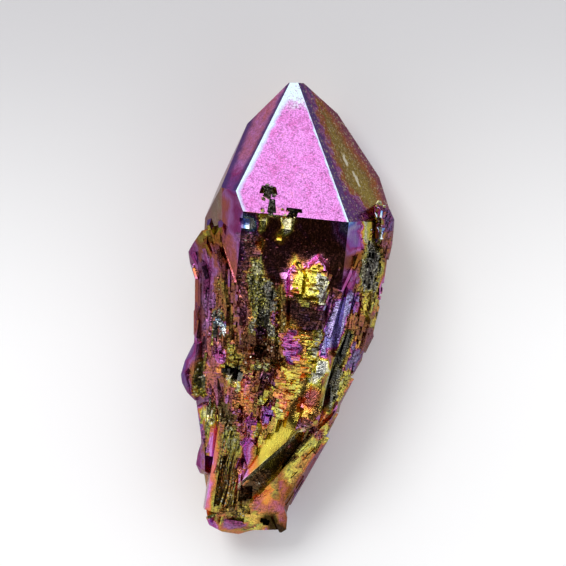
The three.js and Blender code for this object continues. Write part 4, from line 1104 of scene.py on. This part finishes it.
def tintEdges(at, colour):
    # edges of the large faces: indigo on the neighbours of the front one; on the front one a pale rim and a
    # pale tip, partly thicker film and partly a painted highlight where its edges catch the light
    edges = film["edges"]
    onLeft = at.outerLeft.lesser(-edges["leftInner"] * at.leftEdge).ramp(*edges["leftSeam"]) * at.onLeft
    onRight = (at.rightEdge + at.fine).ramp(*edges["rightSeam"]) * at.onRight
    colour = tinted(colour, "seam", onRight + onLeft)
    colour = tinted(colour, "outside", at.onRight * (at.outerRight + at.fine).ramp(*edges["outside"]))
    # painted highlight: fine pale gold sparkles on the right face of the point
    colour = tinted(colour, "paintedSparkles", at.onRight * at.speck.ramp(*edges["specks"]))
    inner = at.leftEdge.lesser(-edges["rightInner"] * at.rightEdge).lesser(at.lowEdge)
    wobble, streaky = edges["apexWobble"]
    apex = (at.y + wobble * at.fine + streaky * at.streak).ramp(*edges["apex"])
    colour = tinted(colour, "inside", at.onFront * inner.ramp(*edges["inside"]))
    # painted highlight, partly thicker film: the pale rim and tip of the front face
    rim = inner.ramp(*edges["rim"]).greater(apex) * at.onFront
    return tinted(colour, "rim", rim * (edges["glow"] + at.grain))


def tintLipHighlight(at, colour):
    # painted highlight: a pale line along the edge of the lip by the groove
    lip = film["lip"]
    near = (fromEdge(at, *lip["line"]) - lip["off"]).size().ramp(*lip["width"])
    near = near * at.y.ramp(*lip["upper"]) * at.up.ramp(*lip["level"])
    return tinted(colour, "lip", near * at.y.ramp(*lip["lower"]))


def tintGlintLines(at, colour):
    # painted highlight: pale streaks on the right face of the point
    for start, end in film["paintedGlintLines"]:
        near = fromEdge(at, start, end).size().ramp(*film["glintLineWidth"])
        upper = at.y.ramp(start[1], start[1] - film["glintLineEnd"])
        lower = at.y.ramp(end[1], end[1] + film["glintLineEnd"])
        colour = tinted(colour, "glintLineTint", near * upper * lower * at.onRight)
    return colour


def makeFilm():
    material = bpy.data.materials.new("aura_film")
    material.use_nodes = True
    tree = material.node_tree
    shader = tree.nodes["Principled BSDF"]
    at = readSurface(tree)
    laid = pointFilm(at, laidFilm(at))
    thickness, strength, etching = (laid.part(index) for index in range(3))
    at.etched = etching.ramp(*film["shade"]["etched"])
    colour = filmColour(at, thickness, strength, etching)
    colour = tintLipHighlight(at, tintEdges(at, colour))

    glitter = film["glitter"]
    # painted highlight: a few etched cells are tinted pale as glints
    glint = (at.cells.part(2) + glitter["etched"] * etching * etching).ramp(*glitter["share"]) * at.etched
    colour = tintGlintLines(at, tinted(colour, "glint", glint))
    tree.links.new(colour.socket, shader.inputs["Base Color"])

    amount = (glitter["tilt"] * etching).lesser(glitter["most"])
    tilt = at.cells.vector("SUBTRACT", glitter["middle"]).vector("SCALE", amount)
    tilt = tilt.vectorToward(glitter["glint"], glint)
    normal = at.normal.vectorToward(film["roundedTo"], at.rounded * at.up.ramp(*film["roundedLevel"]))
    normal = normal.vector("ADD", tilt).vector("NORMALIZE", (0, 0, 0))
    bump = addNode(tree, "ShaderNodeBump", None, {**film["bump"], "Height": at.grain, "Normal": normal})
    tree.links.new(bump.socket, shader.inputs["Normal"])
    smooth, rougher = film["rough"]
    tree.links.new((smooth + rougher * etching).socket, shader.inputs["Roughness"])
    shader.inputs["Metallic"].default_value = 1.0
    shader.inputs["Specular Tint"].default_value = (*film["steep"], 1)
    return material


layPatches(crystal)
crystal.data.materials.clear()
crystal.data.materials.append(makeFilm())
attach(crystal, "root")
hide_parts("crystal")
print("film laid")
